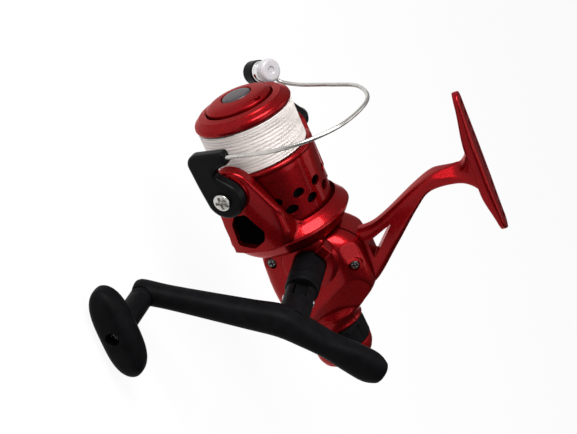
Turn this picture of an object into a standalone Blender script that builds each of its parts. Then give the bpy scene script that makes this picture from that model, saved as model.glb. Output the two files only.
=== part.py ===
"""Rear-drag spinning reel with a wire bail, a folding handle and a push-button spool.

Sizes are in millimetres. Reel coordinates run x forward along the spool axis from the rear
edge of the spool's lip, y to the handle side and z towards the foot. The scene's origin is
the middle of the foot's outer face, with the same directions.
"""

import math

import bmesh
import bpy
import numpy as np
from mathutils import Matrix, Vector

MM = 0.001
NAME = "spinning_reel"

# Clearances
SEAT = 0.3
RUN = 0.4

# Main shaft and spool
SHAFT_R = 2.0
SHAFT_TIP = 4.4
LIP_R = 21.0
LIP_HEIGHT = 5.6
CAP_R = 14.4
CAP_RISE = 2.6
CAP_SEAT = 3.0
BUTTON_R = 6.3
BUTTON_TRAVEL = 1.2
BUTTON_DEPTH = 4.0
ARBOR_R = 12.0
LINE_ZONE = 18.6
FLANGE = 2.4
SKIRT_R = 22.2
SKIRT_REAR_R = 20.9
SKIRT_WALL = 1.3
SKIRT_LENGTH = 28.4
STROKE = 10.0
SKIRT_HOLES = 13
SKIRT_HOLE_LENGTH = 3.6
SKIRT_HOLE_WIDTH = 5.4
SKIRT_HOLE_FIRST = math.radians(12.5)
SKIRT_HOLE_ROWS = (13.0, 7.8)

# Line on the spool
LINE_R = 20.55
WINDING_LOOPS = 15
WINDING_POINTS = 24
WINDING_TUBE_R = 0.3

# Rotor, measured back from the spool
ROTOR_WALL = 3.0
ROTOR_BEHIND_SPOOL = 8.0
NUT_HEIGHT = 3.0
NECK_WALL = 1.6
SKIRT_TO_NECK = 1.2
SKIRT_TO_CUP = 1.4
SKIRT_TO_FLOOR = 2.8
CUP_WALL = 4.4
CUP_FRONT_LENGTH = 4.8
CUP_REAR_LENGTH = 7.4
ARM_ANGLE = math.radians(-17.0)
ARM_IN_R = 24.4
ARM_OUT_R = 30.6
PIVOT_X = -21.0
PIVOT_BOSS_OUT = ARM_OUT_R + 0.6
ARM_TOP_R = 10.8
FAR_ARM_R = 6.4
ARM_FOOT_X = -48.6
POCKET_X = -37.5
POCKET_LENGTH = 13.0
POCKET_WIDTH = 10.0
POCKET_DEPTH = 3.0

# Bail
LEVER_THICK = 4.6
LEVER_HUB_R = 7.2
SCREW_HEAD_R = 3.6
SCREW_HEAD_H = 1.4
SCREW_SHANK_R = 1.8
BAIL_WIRE_R = 0.85
FAR_HUB_R = 4.8
ROLLER_LUG_R = 5.1
ROLLER_LUG = 6.0
ROLLER_R = 4.6
ROLLER_LENGTH = 3.6
ROLLER_PIN_R = 1.5
ROLLER_CAP_R = 5.0
ROLLER_CAP_H = 4.2
ROLLER_TURN = math.radians(52.4)
ROLLER_X = 2.6
ROLLER_FROM_LEVER = 1.4
ROLLER_SIDE = -13.48
WIRE_DRAWN_AT = 33.8

# Pinion and anti-reverse, inside the rotor
PINION_R = 4.2
PINION_TEETH = 7
PINION_TOOTH = 0.9
BEARING_R = 9.0
BEARING_WIDTH = 4.7
BOSS_WALL = 1.2
RATCHET_R = 9.4
RATCHET_TEETH = 12
RATCHET_THICK = 2.4
PAWL_REACH = 6.0

# Gear case
CASE_LENGTH = 41.7
CASE_WALL = 2.0
CASE_TOP = 27.2
CASE_LOW = 17.0
CASE_HALF_WIDTH = 16.4
TAIL_R = 13.1
SEAM_Y = 6.0

# Handle train
HANDLE_BACK = 8.2
HANDLE_Z = 6.0
DRIVE_R = 10.2
DRIVE_TEETH = 36
DRIVE_TOOTH = 0.8
DRIVE_THICK = 2.0
DRIVE_TUBE_R = 3.6
HANDLE_SHAFT_R = 2.2
STEP_GEAR_R = 4.8
STEP_GEAR_TEETH = 14
OSC_TEETH = 24
OSC_THICK = 2.2
OSC_ANGLE = math.radians(200.0)
BUSH_R = 6.0
BUSH_LENGTH = 4.0
COLLAR_R = 7.0
COLLAR_LENGTH = 21.4
COLLAR_BOSS_R = 7.8
HUB_R = 6.2
FOLD_FROM_COLLAR = 7.0
TONGUE_THICK = 5.0
TONGUE_WIDTH = 8.4
FOLD_PIN_R = 1.4
ARM_OUT = 25.0
ARM_REACH = 58.6
ARM_DIRECTION = math.radians(-60.0)
PADDLE_REACH = 41.6
PADDLE_DIRECTION = math.radians(139.4)
POST_R = 4.7
POST_LENGTH = 22.0
POST_CANT = math.radians(5.3)
KNOB_LENGTH = 38.0
KNOB_WIDTH = 14.0
KNOB_DEPTH = 14.0
KNOB_HOLE_R = 2.5
SPINDLE_R = 1.8
CAP_SCREW_R = 7.5
CAP_SCREW_H = 6.0

# Oscillation slider
SLIDER_LENGTH = 5.6
SLIDER_BEHIND = 14.8
GUIDE_R = 1.25
GUIDE_Z = -8.4
GUIDE_Y = -3.0

# Rear drag
DRAG_BORE_R = 10.4
DRAG_BORE_DEPTH = 7.6
DRAG_SLEEVE_R = 4.2
WASHER_THICK = 1.0
DRAG_KNOB_R = 12.5
DRAG_KNOB_LENGTH = 12.8
DRAG_RING_LENGTH = 7.0
DRAG_END_R = 9.6

# Stem and foot
FOOT_HEIGHT = 85.7
FOOT_LENGTH = 63.0
FOOT_WIDTH = 13.0
FOOT_FRONT = -18.0
FOOT_TIP = 2.6
FOOT_ROOT = 5.4
STEM_THICK = 10.0
STEM_NECK = 7.8
NECK_X = -51.0
NECK_BELOW_FOOT = 17.0

# Anti-reverse switch under the case
SWITCH_BACK = 20.0
SWITCH_R = 4.0
SWITCH_LENGTH = 10.0

# Turned steps
STEPS = 28
FEW_STEPS = 16

# Places along the spool axis
SPOOL_BACK = -LINE_ZONE - FLANGE
SKIRT_REAR = -LINE_ZONE - SKIRT_LENGTH
ROTOR_FRONT = SPOOL_BACK - ROTOR_BEHIND_SPOOL
CUP_FLOOR = SKIRT_REAR - SKIRT_TO_FLOOR
CUP_RIM = CUP_FLOOR + CUP_FRONT_LENGTH
ROTOR_REAR = CUP_FLOOR - CUP_REAR_LENGTH
CASE_FRONT = ROTOR_REAR - 2 * SEAT
CASE_REAR = CASE_FRONT - CASE_LENGTH
HANDLE_X = CASE_FRONT - HANDLE_BACK
NECK_R = SKIRT_REAR_R - SKIRT_WALL - SKIRT_TO_NECK
NECK_IN_R = NECK_R - NECK_WALL
CUP_IN_R = SKIRT_REAR_R + SKIRT_TO_CUP
CUP_R = CUP_IN_R + CUP_WALL
BOSS_R = NECK_IN_R - 2 * RUN
BOSS_FRONT = ROTOR_FRONT - ROTOR_WALL - 11.0
BEARING_SHOULDER = BOSS_FRONT - BEARING_WIDTH - SEAT
FOOT_MIDDLE = FOOT_FRONT - FOOT_LENGTH / 2
LEVER_LOW = PIVOT_BOSS_OUT + SEAT
LEVER_MID = LEVER_LOW + LEVER_THICK / 2

AXIS_X = Vector((1, 0, 0))
AXIS_Y = Vector((0, 1, 0))
AXIS_Z = Vector((0, 0, 1))
BAIL_AXIS = Vector((0, math.cos(ARM_ANGLE), math.sin(ARM_ANGLE)))
BAIL_SIDE = Vector((0, -math.sin(ARM_ANGLE), math.cos(ARM_ANGLE)))
ARM_AXIS = Vector((math.cos(ARM_DIRECTION), 0, math.sin(ARM_DIRECTION)))
FOLD_SIDE = ARM_AXIS.cross(AXIS_Y)
ROLLER_AXIS = Vector((0.093, math.cos(ROLLER_TURN), math.sin(ROLLER_TURN))).normalized()
KNOB_AXIS = (AXIS_Y * math.cos(POST_CANT) + ARM_AXIS * math.sin(POST_CANT)).normalized()

# Finishes: colour, roughness, metallic, coat
RED_PAINT = ((0.32, 0.006, 0.012), 0.28, 0.55, 0.6)
BLACK_PLASTIC = ((0.012, 0.012, 0.013), 0.5, 0.0, 0.0)
GREY_PLASTIC = ((0.11, 0.11, 0.115), 0.45, 0.0, 0.0)
STEEL = ((0.55, 0.55, 0.56), 0.28, 1.0, 0.0)
BRASS = ((0.55, 0.38, 0.14), 0.35, 1.0, 0.0)
ZINC = ((0.42, 0.42, 0.44), 0.45, 1.0, 0.0)
ROLLER_METAL = ((0.78, 0.78, 0.8), 0.25, 1.0, 0.0)
WHITE_PLASTIC = ((0.75, 0.75, 0.74), 0.4, 0.0, 0.0)
LINE_NYLON = ((0.74, 0.7, 0.68), 0.32, 0.0, 0.0)
FELT = ((0.3, 0.27, 0.22), 0.95, 0.0, 0.0)


def clear_scene():
    for obj in list(bpy.data.objects):
        bpy.data.objects.remove(obj, do_unlink=True)


def make_collections():
    """One collection for the pieces and one for the shapes that cut or join them."""
    pieces = bpy.data.collections.new(NAME)
    shapes = bpy.data.collections.new(NAME + "_shapes")
    bpy.context.scene.collection.children.link(pieces)
    bpy.context.scene.collection.children.link(shapes)
    return pieces, shapes


def reel(x, y, z):
    """A point of the reel, in metres from the middle of the foot's outer face."""
    return Vector((x - FOOT_MIDDLE, y, z - FOOT_HEIGHT)) * MM


ROLLER_PLACE = (
    reel(ROLLER_X, 0, 0) - BAIL_AXIS * ((LEVER_MID + ROLLER_FROM_LEVER) * MM) + BAIL_SIDE * (ROLLER_SIDE * MM)
)


def add(name, data):
    obj = bpy.data.objects.new(name, data)
    PIECES.objects.link(obj)
    return obj


def finish(obj, look):
    """Gives a piece its own material, and smooth shading with sharp edges."""
    colour, roughness, metallic, coat = look
    material = bpy.data.materials.new(obj.name + "_finish")
    material.use_nodes = True
    shader = material.node_tree.nodes["Principled BSDF"]
    shader.inputs["Base Color"].default_value = (*colour, 1.0)
    shader.inputs["Roughness"].default_value = roughness
    shader.inputs["Metallic"].default_value = metallic
    shader.inputs["Coat Weight"].default_value = coat
    obj.data.materials.append(material)
    if obj.type == "MESH":
        obj.data.shade_smooth()
        obj.data.set_sharp_from_angle(angle=math.radians(35))
    return obj


def helper(obj):
    """Moves a shape that only cuts or joins out of the object."""
    PIECES.objects.unlink(obj)
    SHAPES.objects.link(obj)
    obj.hide_render = True
    obj.display_type = "WIRE"


def combine(obj, operation, *tools):
    """Joins, cuts or keeps with one Boolean, several shapes going in as one mesh."""
    tool = tools[0] if len(tools) == 1 else as_one(f"{obj.name}_{operation.lower()}", tools)
    if tool.name in PIECES.objects:
        helper(tool)
    boolean = obj.modifiers.new(operation.lower(), "BOOLEAN")
    boolean.operation = operation
    boolean.solver = "EXACT"
    boolean.use_self = True
    boolean.object = tool
    return obj


def as_one(name, objects):
    """Gathers separate closed shapes into one mesh, each at its own place."""
    bpy.context.view_layer.update()
    graph = bpy.context.evaluated_depsgraph_get()
    shape = bmesh.new()
    for obj in objects:
        part = bpy.data.meshes.new_from_object(obj.evaluated_get(graph))
        part.transform(obj.matrix_world)
        shape.from_mesh(part)
        bpy.data.meshes.remove(part)
    mesh = bpy.data.meshes.new(name)
    shape.to_mesh(mesh)
    shape.free()
    for obj in objects:
        bpy.data.objects.remove(obj, do_unlink=True)
    return add(name, mesh)


def join(obj, *tools):
    return combine(obj, "UNION", *tools)


def cut(obj, *tools):
    return combine(obj, "DIFFERENCE", *tools)


def keep(obj, *tools):
    return combine(obj, "INTERSECT", *tools)


def turn_to(obj, place, along):
    """Puts an object's local Z along a direction, at a place."""
    obj.rotation_mode = "QUATERNION"
    obj.rotation_quaternion = AXIS_Z.rotation_difference(along)
    obj.location = place
    return obj


def turned(name, profile, place, along, steps=STEPS):
    """Turns a closed profile of (radius, height) points round an axis."""
    area = sum(a[0] * b[1] - b[0] * a[1] for a, b in zip(profile, profile[1:] + profile[:1]))
    points = profile[::-1] if area > 0 else profile
    rows = [(r * MM, 0.0, h * MM) for r, h in points]
    edges = [(i, (i + 1) % len(rows)) for i in range(len(rows))]
    on_axis = [i for i, (r, _) in enumerate(points) if r == 0]
    edges = [e for e in edges if not (e[0] in on_axis and e[1] in on_axis)]
    mesh = bpy.data.meshes.new(name)
    mesh.from_pydata(rows, edges, [])
    obj = turn_to(add(name, mesh), place, along)
    screw = obj.modifiers.new("turn", "SCREW")
    screw.axis = "Z"
    screw.angle = math.tau
    screw.steps = steps
    screw.render_steps = steps
    screw.use_merge_vertices = True
    screw.merge_threshold = 1e-6
    screw.use_smooth_shade = True
    return obj


def ring(name, inner, outer, low, high, place, along, steps=FEW_STEPS):
    """A plain ring between two radii and two heights."""
    return turned(name, [(inner, low), (inner, high), (outer, high), (outer, low)], place, along, steps)


def rod(name, radius, low, high, place, along, steps=FEW_STEPS):
    return turned(name, [(0, low), (0, high), (radius, high), (radius, low)], place, along, steps)


def box(name, low, high):
    """A box between two corners in reel coordinates."""
    mesh = bpy.data.meshes.new(name)
    shape = bmesh.new()
    bmesh.ops.create_cube(shape, size=1.0)
    bmesh.ops.scale(shape, vec=[(b - a) * MM for a, b in zip(low, high)], verts=shape.verts)
    shape.to_mesh(mesh)
    shape.free()
    obj = add(name, mesh)
    obj.location = reel(*[(a + b) / 2 for a, b in zip(low, high)])
    return obj


def axes(place, x_side, y_side):
    """A matrix whose X and Y sides lie along two directions."""
    x_side, y_side = Vector(x_side).normalized(), Vector(y_side).normalized()
    turn = Matrix((x_side, y_side, x_side.cross(y_side))).transposed()
    return Matrix.Translation(place) @ turn.to_4x4()


def plate(name, outline, thickness, matrix):
    """A flat outline of (x, y) points, thickened evenly to both sides, as a mesh."""
    curve = bpy.data.curves.new(name + "_outline", "CURVE")
    curve.dimensions = "2D"
    curve.fill_mode = "BOTH"
    curve.extrude = thickness / 2 * MM
    spline = curve.splines.new("POLY")
    spline.points.add(len(outline) - 1)
    for point, (x, y) in zip(spline.points, outline):
        point.co = (x * MM, y * MM, 0, 1)
    spline.use_cyclic_u = True
    flat = add(name + "_outline", curve)
    bpy.context.view_layer.update()
    mesh = bpy.data.meshes.new_from_object(flat.evaluated_get(bpy.context.evaluated_depsgraph_get()))
    bpy.data.objects.remove(flat, do_unlink=True)
    shape = bmesh.new()
    shape.from_mesh(mesh)
    bmesh.ops.remove_doubles(shape, verts=shape.verts, dist=1e-7)
    bmesh.ops.recalc_face_normals(shape, faces=shape.faces)
    shape.to_mesh(mesh)
    shape.free()
    obj = add(name, mesh)
    obj.matrix_world = matrix
    return obj


def bevelled(obj, width, segments=2):
    bevel = obj.modifiers.new("round", "BEVEL")
    bevel.width = width * MM
    bevel.segments = segments
    bevel.limit_method = "ANGLE"
    bevel.angle_limit = math.radians(50)
    return obj


def loft(name, rings):
    """Skins a list of equal rings of points and closes both ends."""
    count = len(rings[0])
    mesh = bpy.data.meshes.new(name)
    shape = bmesh.new()
    rows = [[shape.verts.new(p) for p in points] for points in rings]
    for a, b in zip(rows, rows[1:]):
        for k in range(count):
            shape.faces.new((a[k], a[(k + 1) % count], b[(k + 1) % count], b[k]))
    shape.faces.new(rows[0][::-1])
    shape.faces.new(rows[-1])
    bmesh.ops.triangulate(shape, faces=shape.faces)
    bmesh.ops.recalc_face_normals(shape, faces=shape.faces)
    shape.to_mesh(mesh)
    shape.free()
    return add(name, mesh)


def oval(half_a, half_b, power, count):
    """Points of a superellipse, as pairs."""
    turn = np.arange(count) * math.tau / count
    c, s = np.cos(turn), np.sin(turn)
    return np.stack(
        [half_a * np.sign(c) * np.abs(c) ** (2 / power), half_b * np.sign(s) * np.abs(s) ** (2 / power)], 1
    )


def arc(centre, radius, start, end, count):
    """Points on an arc, angles in degrees."""
    turn = np.radians(np.linspace(start, end, count))
    return [(centre[0] + radius * math.cos(t), centre[1] + radius * math.sin(t)) for t in turn]


def smooth(points, per_span):
    """A curve through every point, by cubic blending of its neighbours."""
    p = np.array([points[0], *points, points[-1]], float)
    t = np.linspace(0, 1, per_span, endpoint=False)[:, None]
    spans = []
    for a, b, c, d in zip(p, p[1:], p[2:], p[3:]):
        spans.append(0.5 * (2 * b + (c - a) * t + (2 * a - 5 * b + 4 * c - d) * t**2 + (3 * b - a - 3 * c + d) * t**3))
    return np.concatenate([*spans, p[-1:]])


def wire(name, points, radius, resolution):
    """A round wire along points given in metres, closed at both ends."""
    curve = bpy.data.curves.new(name, "CURVE")
    curve.dimensions = "3D"
    curve.bevel_depth = radius * MM
    curve.bevel_resolution = resolution
    curve.use_fill_caps = True
    spline = curve.splines.new("POLY")
    spline.points.add(len(points) - 1)
    for point, co in zip(spline.points, points):
        point.co = (*co, 1)
    return add(name, curve)


def gear_outline(radius, teeth, depth):
    """Outline of a gear with pointed teeth."""
    outline = []
    for k in range(teeth):
        for part, r in ((0.0, radius - depth), (0.5, radius)):
            turn = (k + part) * math.tau / teeth
            outline.append((r * math.cos(turn), r * math.sin(turn)))
    return outline


def on_axis(x):
    return reel(x, 0, 0)


def make_spool():
    """Spool with its lip, arbor, rear flange and pierced skirt, its cap, button and spring."""
    flange_top = -LINE_ZONE
    profile = [
        (SHAFT_R + RUN, CAP_SEAT),
        (CAP_R - SEAT, CAP_SEAT),
        (CAP_R + 0.4, LIP_HEIGHT),
        (CAP_R + 3.0, LIP_HEIGHT - 1.6),
        (LIP_R - 0.8, 2.0),
        (LIP_R, 0.9),
        (LIP_R - 0.3, 0.0),
        (LIP_R - 1.2, -0.6),
        (ARBOR_R, -1.6),
        (ARBOR_R, flange_top + 0.6),
        (SKIRT_R - 0.8, flange_top),
        (SKIRT_R, flange_top - 0.8),
        (SKIRT_R - 0.2, flange_top - 3.4),
        (SKIRT_REAR_R, SKIRT_REAR),
        (SKIRT_REAR_R - SKIRT_WALL, SKIRT_REAR),
        (SKIRT_R - SKIRT_WALL - 0.4, SPOOL_BACK - 2.0),
        (SKIRT_R - SKIRT_WALL - 2.4, SPOOL_BACK),
        (ARBOR_R - 1.5, SPOOL_BACK),
        (ARBOR_R - 1.5, -3.0),
        (SHAFT_R + 3.0, -3.0),
        (SHAFT_R + 3.0, SPOOL_BACK),
        (SHAFT_R + RUN, SPOOL_BACK),
    ]
    spool = turned("spool", profile, on_axis(0), AXIS_X, STEPS + 4)
    holes = []
    for row, up in enumerate(SKIRT_HOLE_ROWS):
        for k in range(SKIRT_HOLES):
            turn = SKIRT_HOLE_FIRST + (k + row / 2) * math.tau / SKIRT_HOLES
            out = Vector((0, math.cos(turn), math.sin(turn)))
            side = AXIS_X.cross(out)
            place = reel(SKIRT_REAR + up, 0, 0) + out * (SKIRT_REAR_R * MM)
            outline = oval(SKIRT_HOLE_LENGTH / 2, SKIRT_HOLE_WIDTH / 2, 2, 8).tolist()
            holes.append(plate("skirt_hole", outline, 3 * SKIRT_WALL + 1.0, axes(place, AXIS_X, side)))
    cut(spool, as_one("skirt_holes", holes))
    finish(spool, RED_PAINT)

    base = CAP_SEAT + SEAT
    rise = LIP_HEIGHT + CAP_RISE
    hole = BUTTON_R + SEAT
    cap = [
        (hole, base),
        (CAP_R - 2 * SEAT, base),
        (CAP_R - SEAT, LIP_HEIGHT - 0.2),
        (CAP_R - 2.4, LIP_HEIGHT + 0.55 * CAP_RISE),
        ((CAP_R + hole) / 2, rise - 0.4),
        (hole + 0.4, rise),
        (hole, rise - 0.2),
    ]
    finish(turned("spool_cap", cap, on_axis(0), AXIS_X), RED_PAINT)

    low = rise - BUTTON_DEPTH + 0.4
    button = [
        (0, rise + 0.6),
        (BUTTON_R - 1.2, rise + 0.4),
        (BUTTON_R, rise - 0.3),
        (BUTTON_R, low),
        (BUTTON_R - 1.0, low),
        (BUTTON_R - 1.0, rise - 1.9),
        (0, rise - 1.9),
    ]
    finish(turned("spool_button", button, on_axis(0), AXIS_X, FEW_STEPS + 4), GREY_PLASTIC)
    spring = ring("button_spring", SHAFT_R + 0.8, BUTTON_R - 1.5, base, base + 1.2, on_axis(0), AXIS_X)
    finish(spring, STEEL)


def make_line():
    """The full spool of line: a plain core, and its outer layer as one unbroken helix."""
    inner, tube = ARBOR_R + SEAT, WINDING_TUBE_R
    path_r = LINE_R - tube
    core_r = path_r - tube - SEAT
    front, rear = -2.0, -LINE_ZONE + 1.0
    core = [(inner, front), (core_r, front + 0.6), (core_r, rear + 0.1), (inner, rear + 0.3)]
    finish(turned("line_core", core, on_axis(0), AXIS_X), LINE_NYLON)

    count = WINDING_LOOPS * WINDING_POINTS
    turn = np.arange(count + 1) * math.tau / WINDING_POINTS
    along = np.linspace(front + 0.6 - tube, rear + tube, count + 1)
    path = np.stack([along, path_r * np.cos(turn), path_r * np.sin(turn)], 1)
    ends = [2 * path[0] - path[1], 2 * path[-1] - path[-2]]
    scale = 2 * tube / np.linalg.norm(path[1] - path[0])
    start = path[0] + (ends[0] - path[0]) * scale
    stop = path[-1] + (ends[1] - path[-1]) * scale
    path = np.vstack([start, path, stop])
    half = WINDING_POINTS // 2
    gaps = [np.linalg.norm(path[k + half :] - path[k], axis=1).min() for k in range(len(path) - half)]
    print(f"line winding: least gap to itself {min(gaps) - 2 * tube:.2f} mm")
    points = [reel(*p) for p in path]
    finish(wire("line_winding", points, tube, 1), LINE_NYLON)


def make_main_shaft():
    """Shaft that carries the spool, with the cross pin that turns it."""
    rear = CASE_REAR - DRAG_KNOB_LENGTH * 0.5
    shaft = rod("main_shaft", SHAFT_R, rear, SHAFT_TIP, on_axis(0), AXIS_X)
    finish(shaft, STEEL)


def arm_outline(top_r, flare):
    """Side outline of a rotor arm: round about the pivot, flared at its foot, as (x, side)."""
    top = arc((PIVOT_X, 0), top_r, 75, -100, 13)
    wide = [(PIVOT_X - 17.0, flare - 1.6), (ARM_FOOT_X + 4.0, flare), (ARM_FOOT_X, flare - 3.0)]
    back = [(ARM_FOOT_X + 3.0, 1.2 - top_r), (ARM_FOOT_X, 3.2 - top_r)]
    return wide[::-1] + top + back


def make_rotor():
    """Rotor: neck under the skirt, cup round it, and two arms that carry the bail."""
    rear_in = NECK_IN_R
    profile = [
        (PINION_R + SEAT, ROTOR_FRONT),
        (NECK_R - 1.0, ROTOR_FRONT),
        (NECK_R, ROTOR_FRONT - 1.0),
        (NECK_R, CUP_FLOOR),
        (CUP_IN_R - 0.6, CUP_FLOOR),
        (CUP_IN_R, CUP_FLOOR + 1.6),
        (CUP_IN_R, CUP_RIM - 0.6),
        (CUP_IN_R + 0.6, CUP_RIM),
        (CUP_R - 0.9, CUP_RIM - 1.6),
        (CUP_R, CUP_FLOOR + 1.2),
        (CUP_R - 0.3, CUP_FLOOR - 0.9),
        (CUP_R - 2.6, CUP_FLOOR - 0.6 * CUP_REAR_LENGTH),
        (CUP_R - 6.0, ROTOR_REAR),
        (rear_in + 0.8, ROTOR_REAR),
        (rear_in, ROTOR_REAR + 0.8),
        (rear_in, ROTOR_FRONT - ROTOR_WALL),
        (PINION_R + SEAT, ROTOR_FRONT - ROTOR_WALL),
    ]
    solids = [turned("rotor_cup", profile, on_axis(0), AXIS_X, STEPS + 4)]
    ways = []
    for name, sign, top_r, flare in (("near", 1, ARM_TOP_R, 18.0), ("far", -1, FAR_ARM_R, 10.0)):
        out, side = BAIL_AXIS * sign, BAIL_SIDE * sign
        pivot = on_axis(PIVOT_X)
        middle = on_axis(0) + out * (ARM_OUT_R * MM)
        slab = plate(f"{name}_arm_slab", arm_outline(top_r, flare), ARM_OUT_R, axes(middle, AXIS_X, side))
        shell = [(ARM_IN_R, ARM_FOOT_X - 1), (ARM_IN_R, 0), (ARM_OUT_R, 0), (ARM_OUT_R, ARM_FOOT_X - 1)]
        solids.append(keep(slab, turned(f"{name}_arm_shell", shell, on_axis(0), AXIS_X, STEPS + 4)))
        solids.append(rod(f"{name}_pivot_boss", top_r - 1.4, ARM_IN_R + 1.0, PIVOT_BOSS_OUT, pivot, out))
        ways.append(rod(f"{name}_pivot_hole", SCREW_SHANK_R + SEAT, ARM_IN_R - 2, PIVOT_BOSS_OUT + 1, pivot, out))
    ways.append(arm_pocket("near_pocket", BAIL_AXIS, BAIL_SIDE))
    rotor = cut(as_one("rotor", solids), *ways)
    finish(rotor, RED_PAINT)
    nut = plate(
        "rotor_nut",
        oval(2 * PINION_R, 2 * PINION_R, 2, 6).tolist(),
        NUT_HEIGHT,
        axes(on_axis(ROTOR_FRONT + SEAT + NUT_HEIGHT / 2), AXIS_Y, AXIS_Z),
    )
    cut(nut, rod("nut_bore", PINION_R + SEAT, -NUT_HEIGHT, NUT_HEIGHT, nut.location, AXIS_X))
    finish(nut, BRASS)


def arm_pocket(name, out, side):
    """Round-cornered recess in a rotor arm's outer face."""
    outline = oval(POCKET_LENGTH / 2, POCKET_WIDTH / 2, 4, 16).tolist()
    place = on_axis(POCKET_X) + out * ((ARM_OUT_R - POCKET_DEPTH + 5.0) * MM)
    return plate(name, outline, 10.0, axes(place, AXIS_X, side))


def make_bail_spring():
    """Coil that snaps the bail over, lying in the near arm's recess."""
    turns, per_turn, coil_r, wire_r = 5, 8, 1.0, 0.25
    floor = ARM_OUT_R - POCKET_DEPTH
    count = turns * per_turn
    turn = np.arange(count + 1) * math.tau / per_turn
    along = POCKET_X + np.linspace(-4.2, 4.2, count + 1)
    up = floor + coil_r + wire_r + SEAT + coil_r * np.cos(turn)
    across = coil_r * np.sin(turn)
    points = [on_axis(a) + BAIL_AXIS * (u * MM) + BAIL_SIDE * (c * MM) for a, u, c in zip(along, up, across)]
    tips = [points[0] - AXIS_X * 2 * wire_r * MM, points[-1] + AXIS_X * 2 * wire_r * MM]
    pitch = 8.4 / turns
    print(f"bail spring: least gap to itself {pitch - 2 * wire_r:.2f} mm")
    finish(wire("bail_spring", [tips[0], *points, tips[1]], wire_r, 1), STEEL)


def lever_outline(tip_x, tip_side, tip_width):
    """A bail lever: round hub, an elbow forward, and a tip turned to the wire's side."""
    hub = arc((PIVOT_X, 0), LEVER_HUB_R, 42, 255, 11)
    elbow = [(-14.5, -9.0), *arc((-4.4, -5.0), 4.6, -100, 0, 5)]
    tip = [(tip_x, tip_side), (tip_x - tip_width, tip_side)]
    inner = [(-7.4, 2.2), (-10.4, 0.6)]
    return hub + elbow + tip + inner


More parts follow.
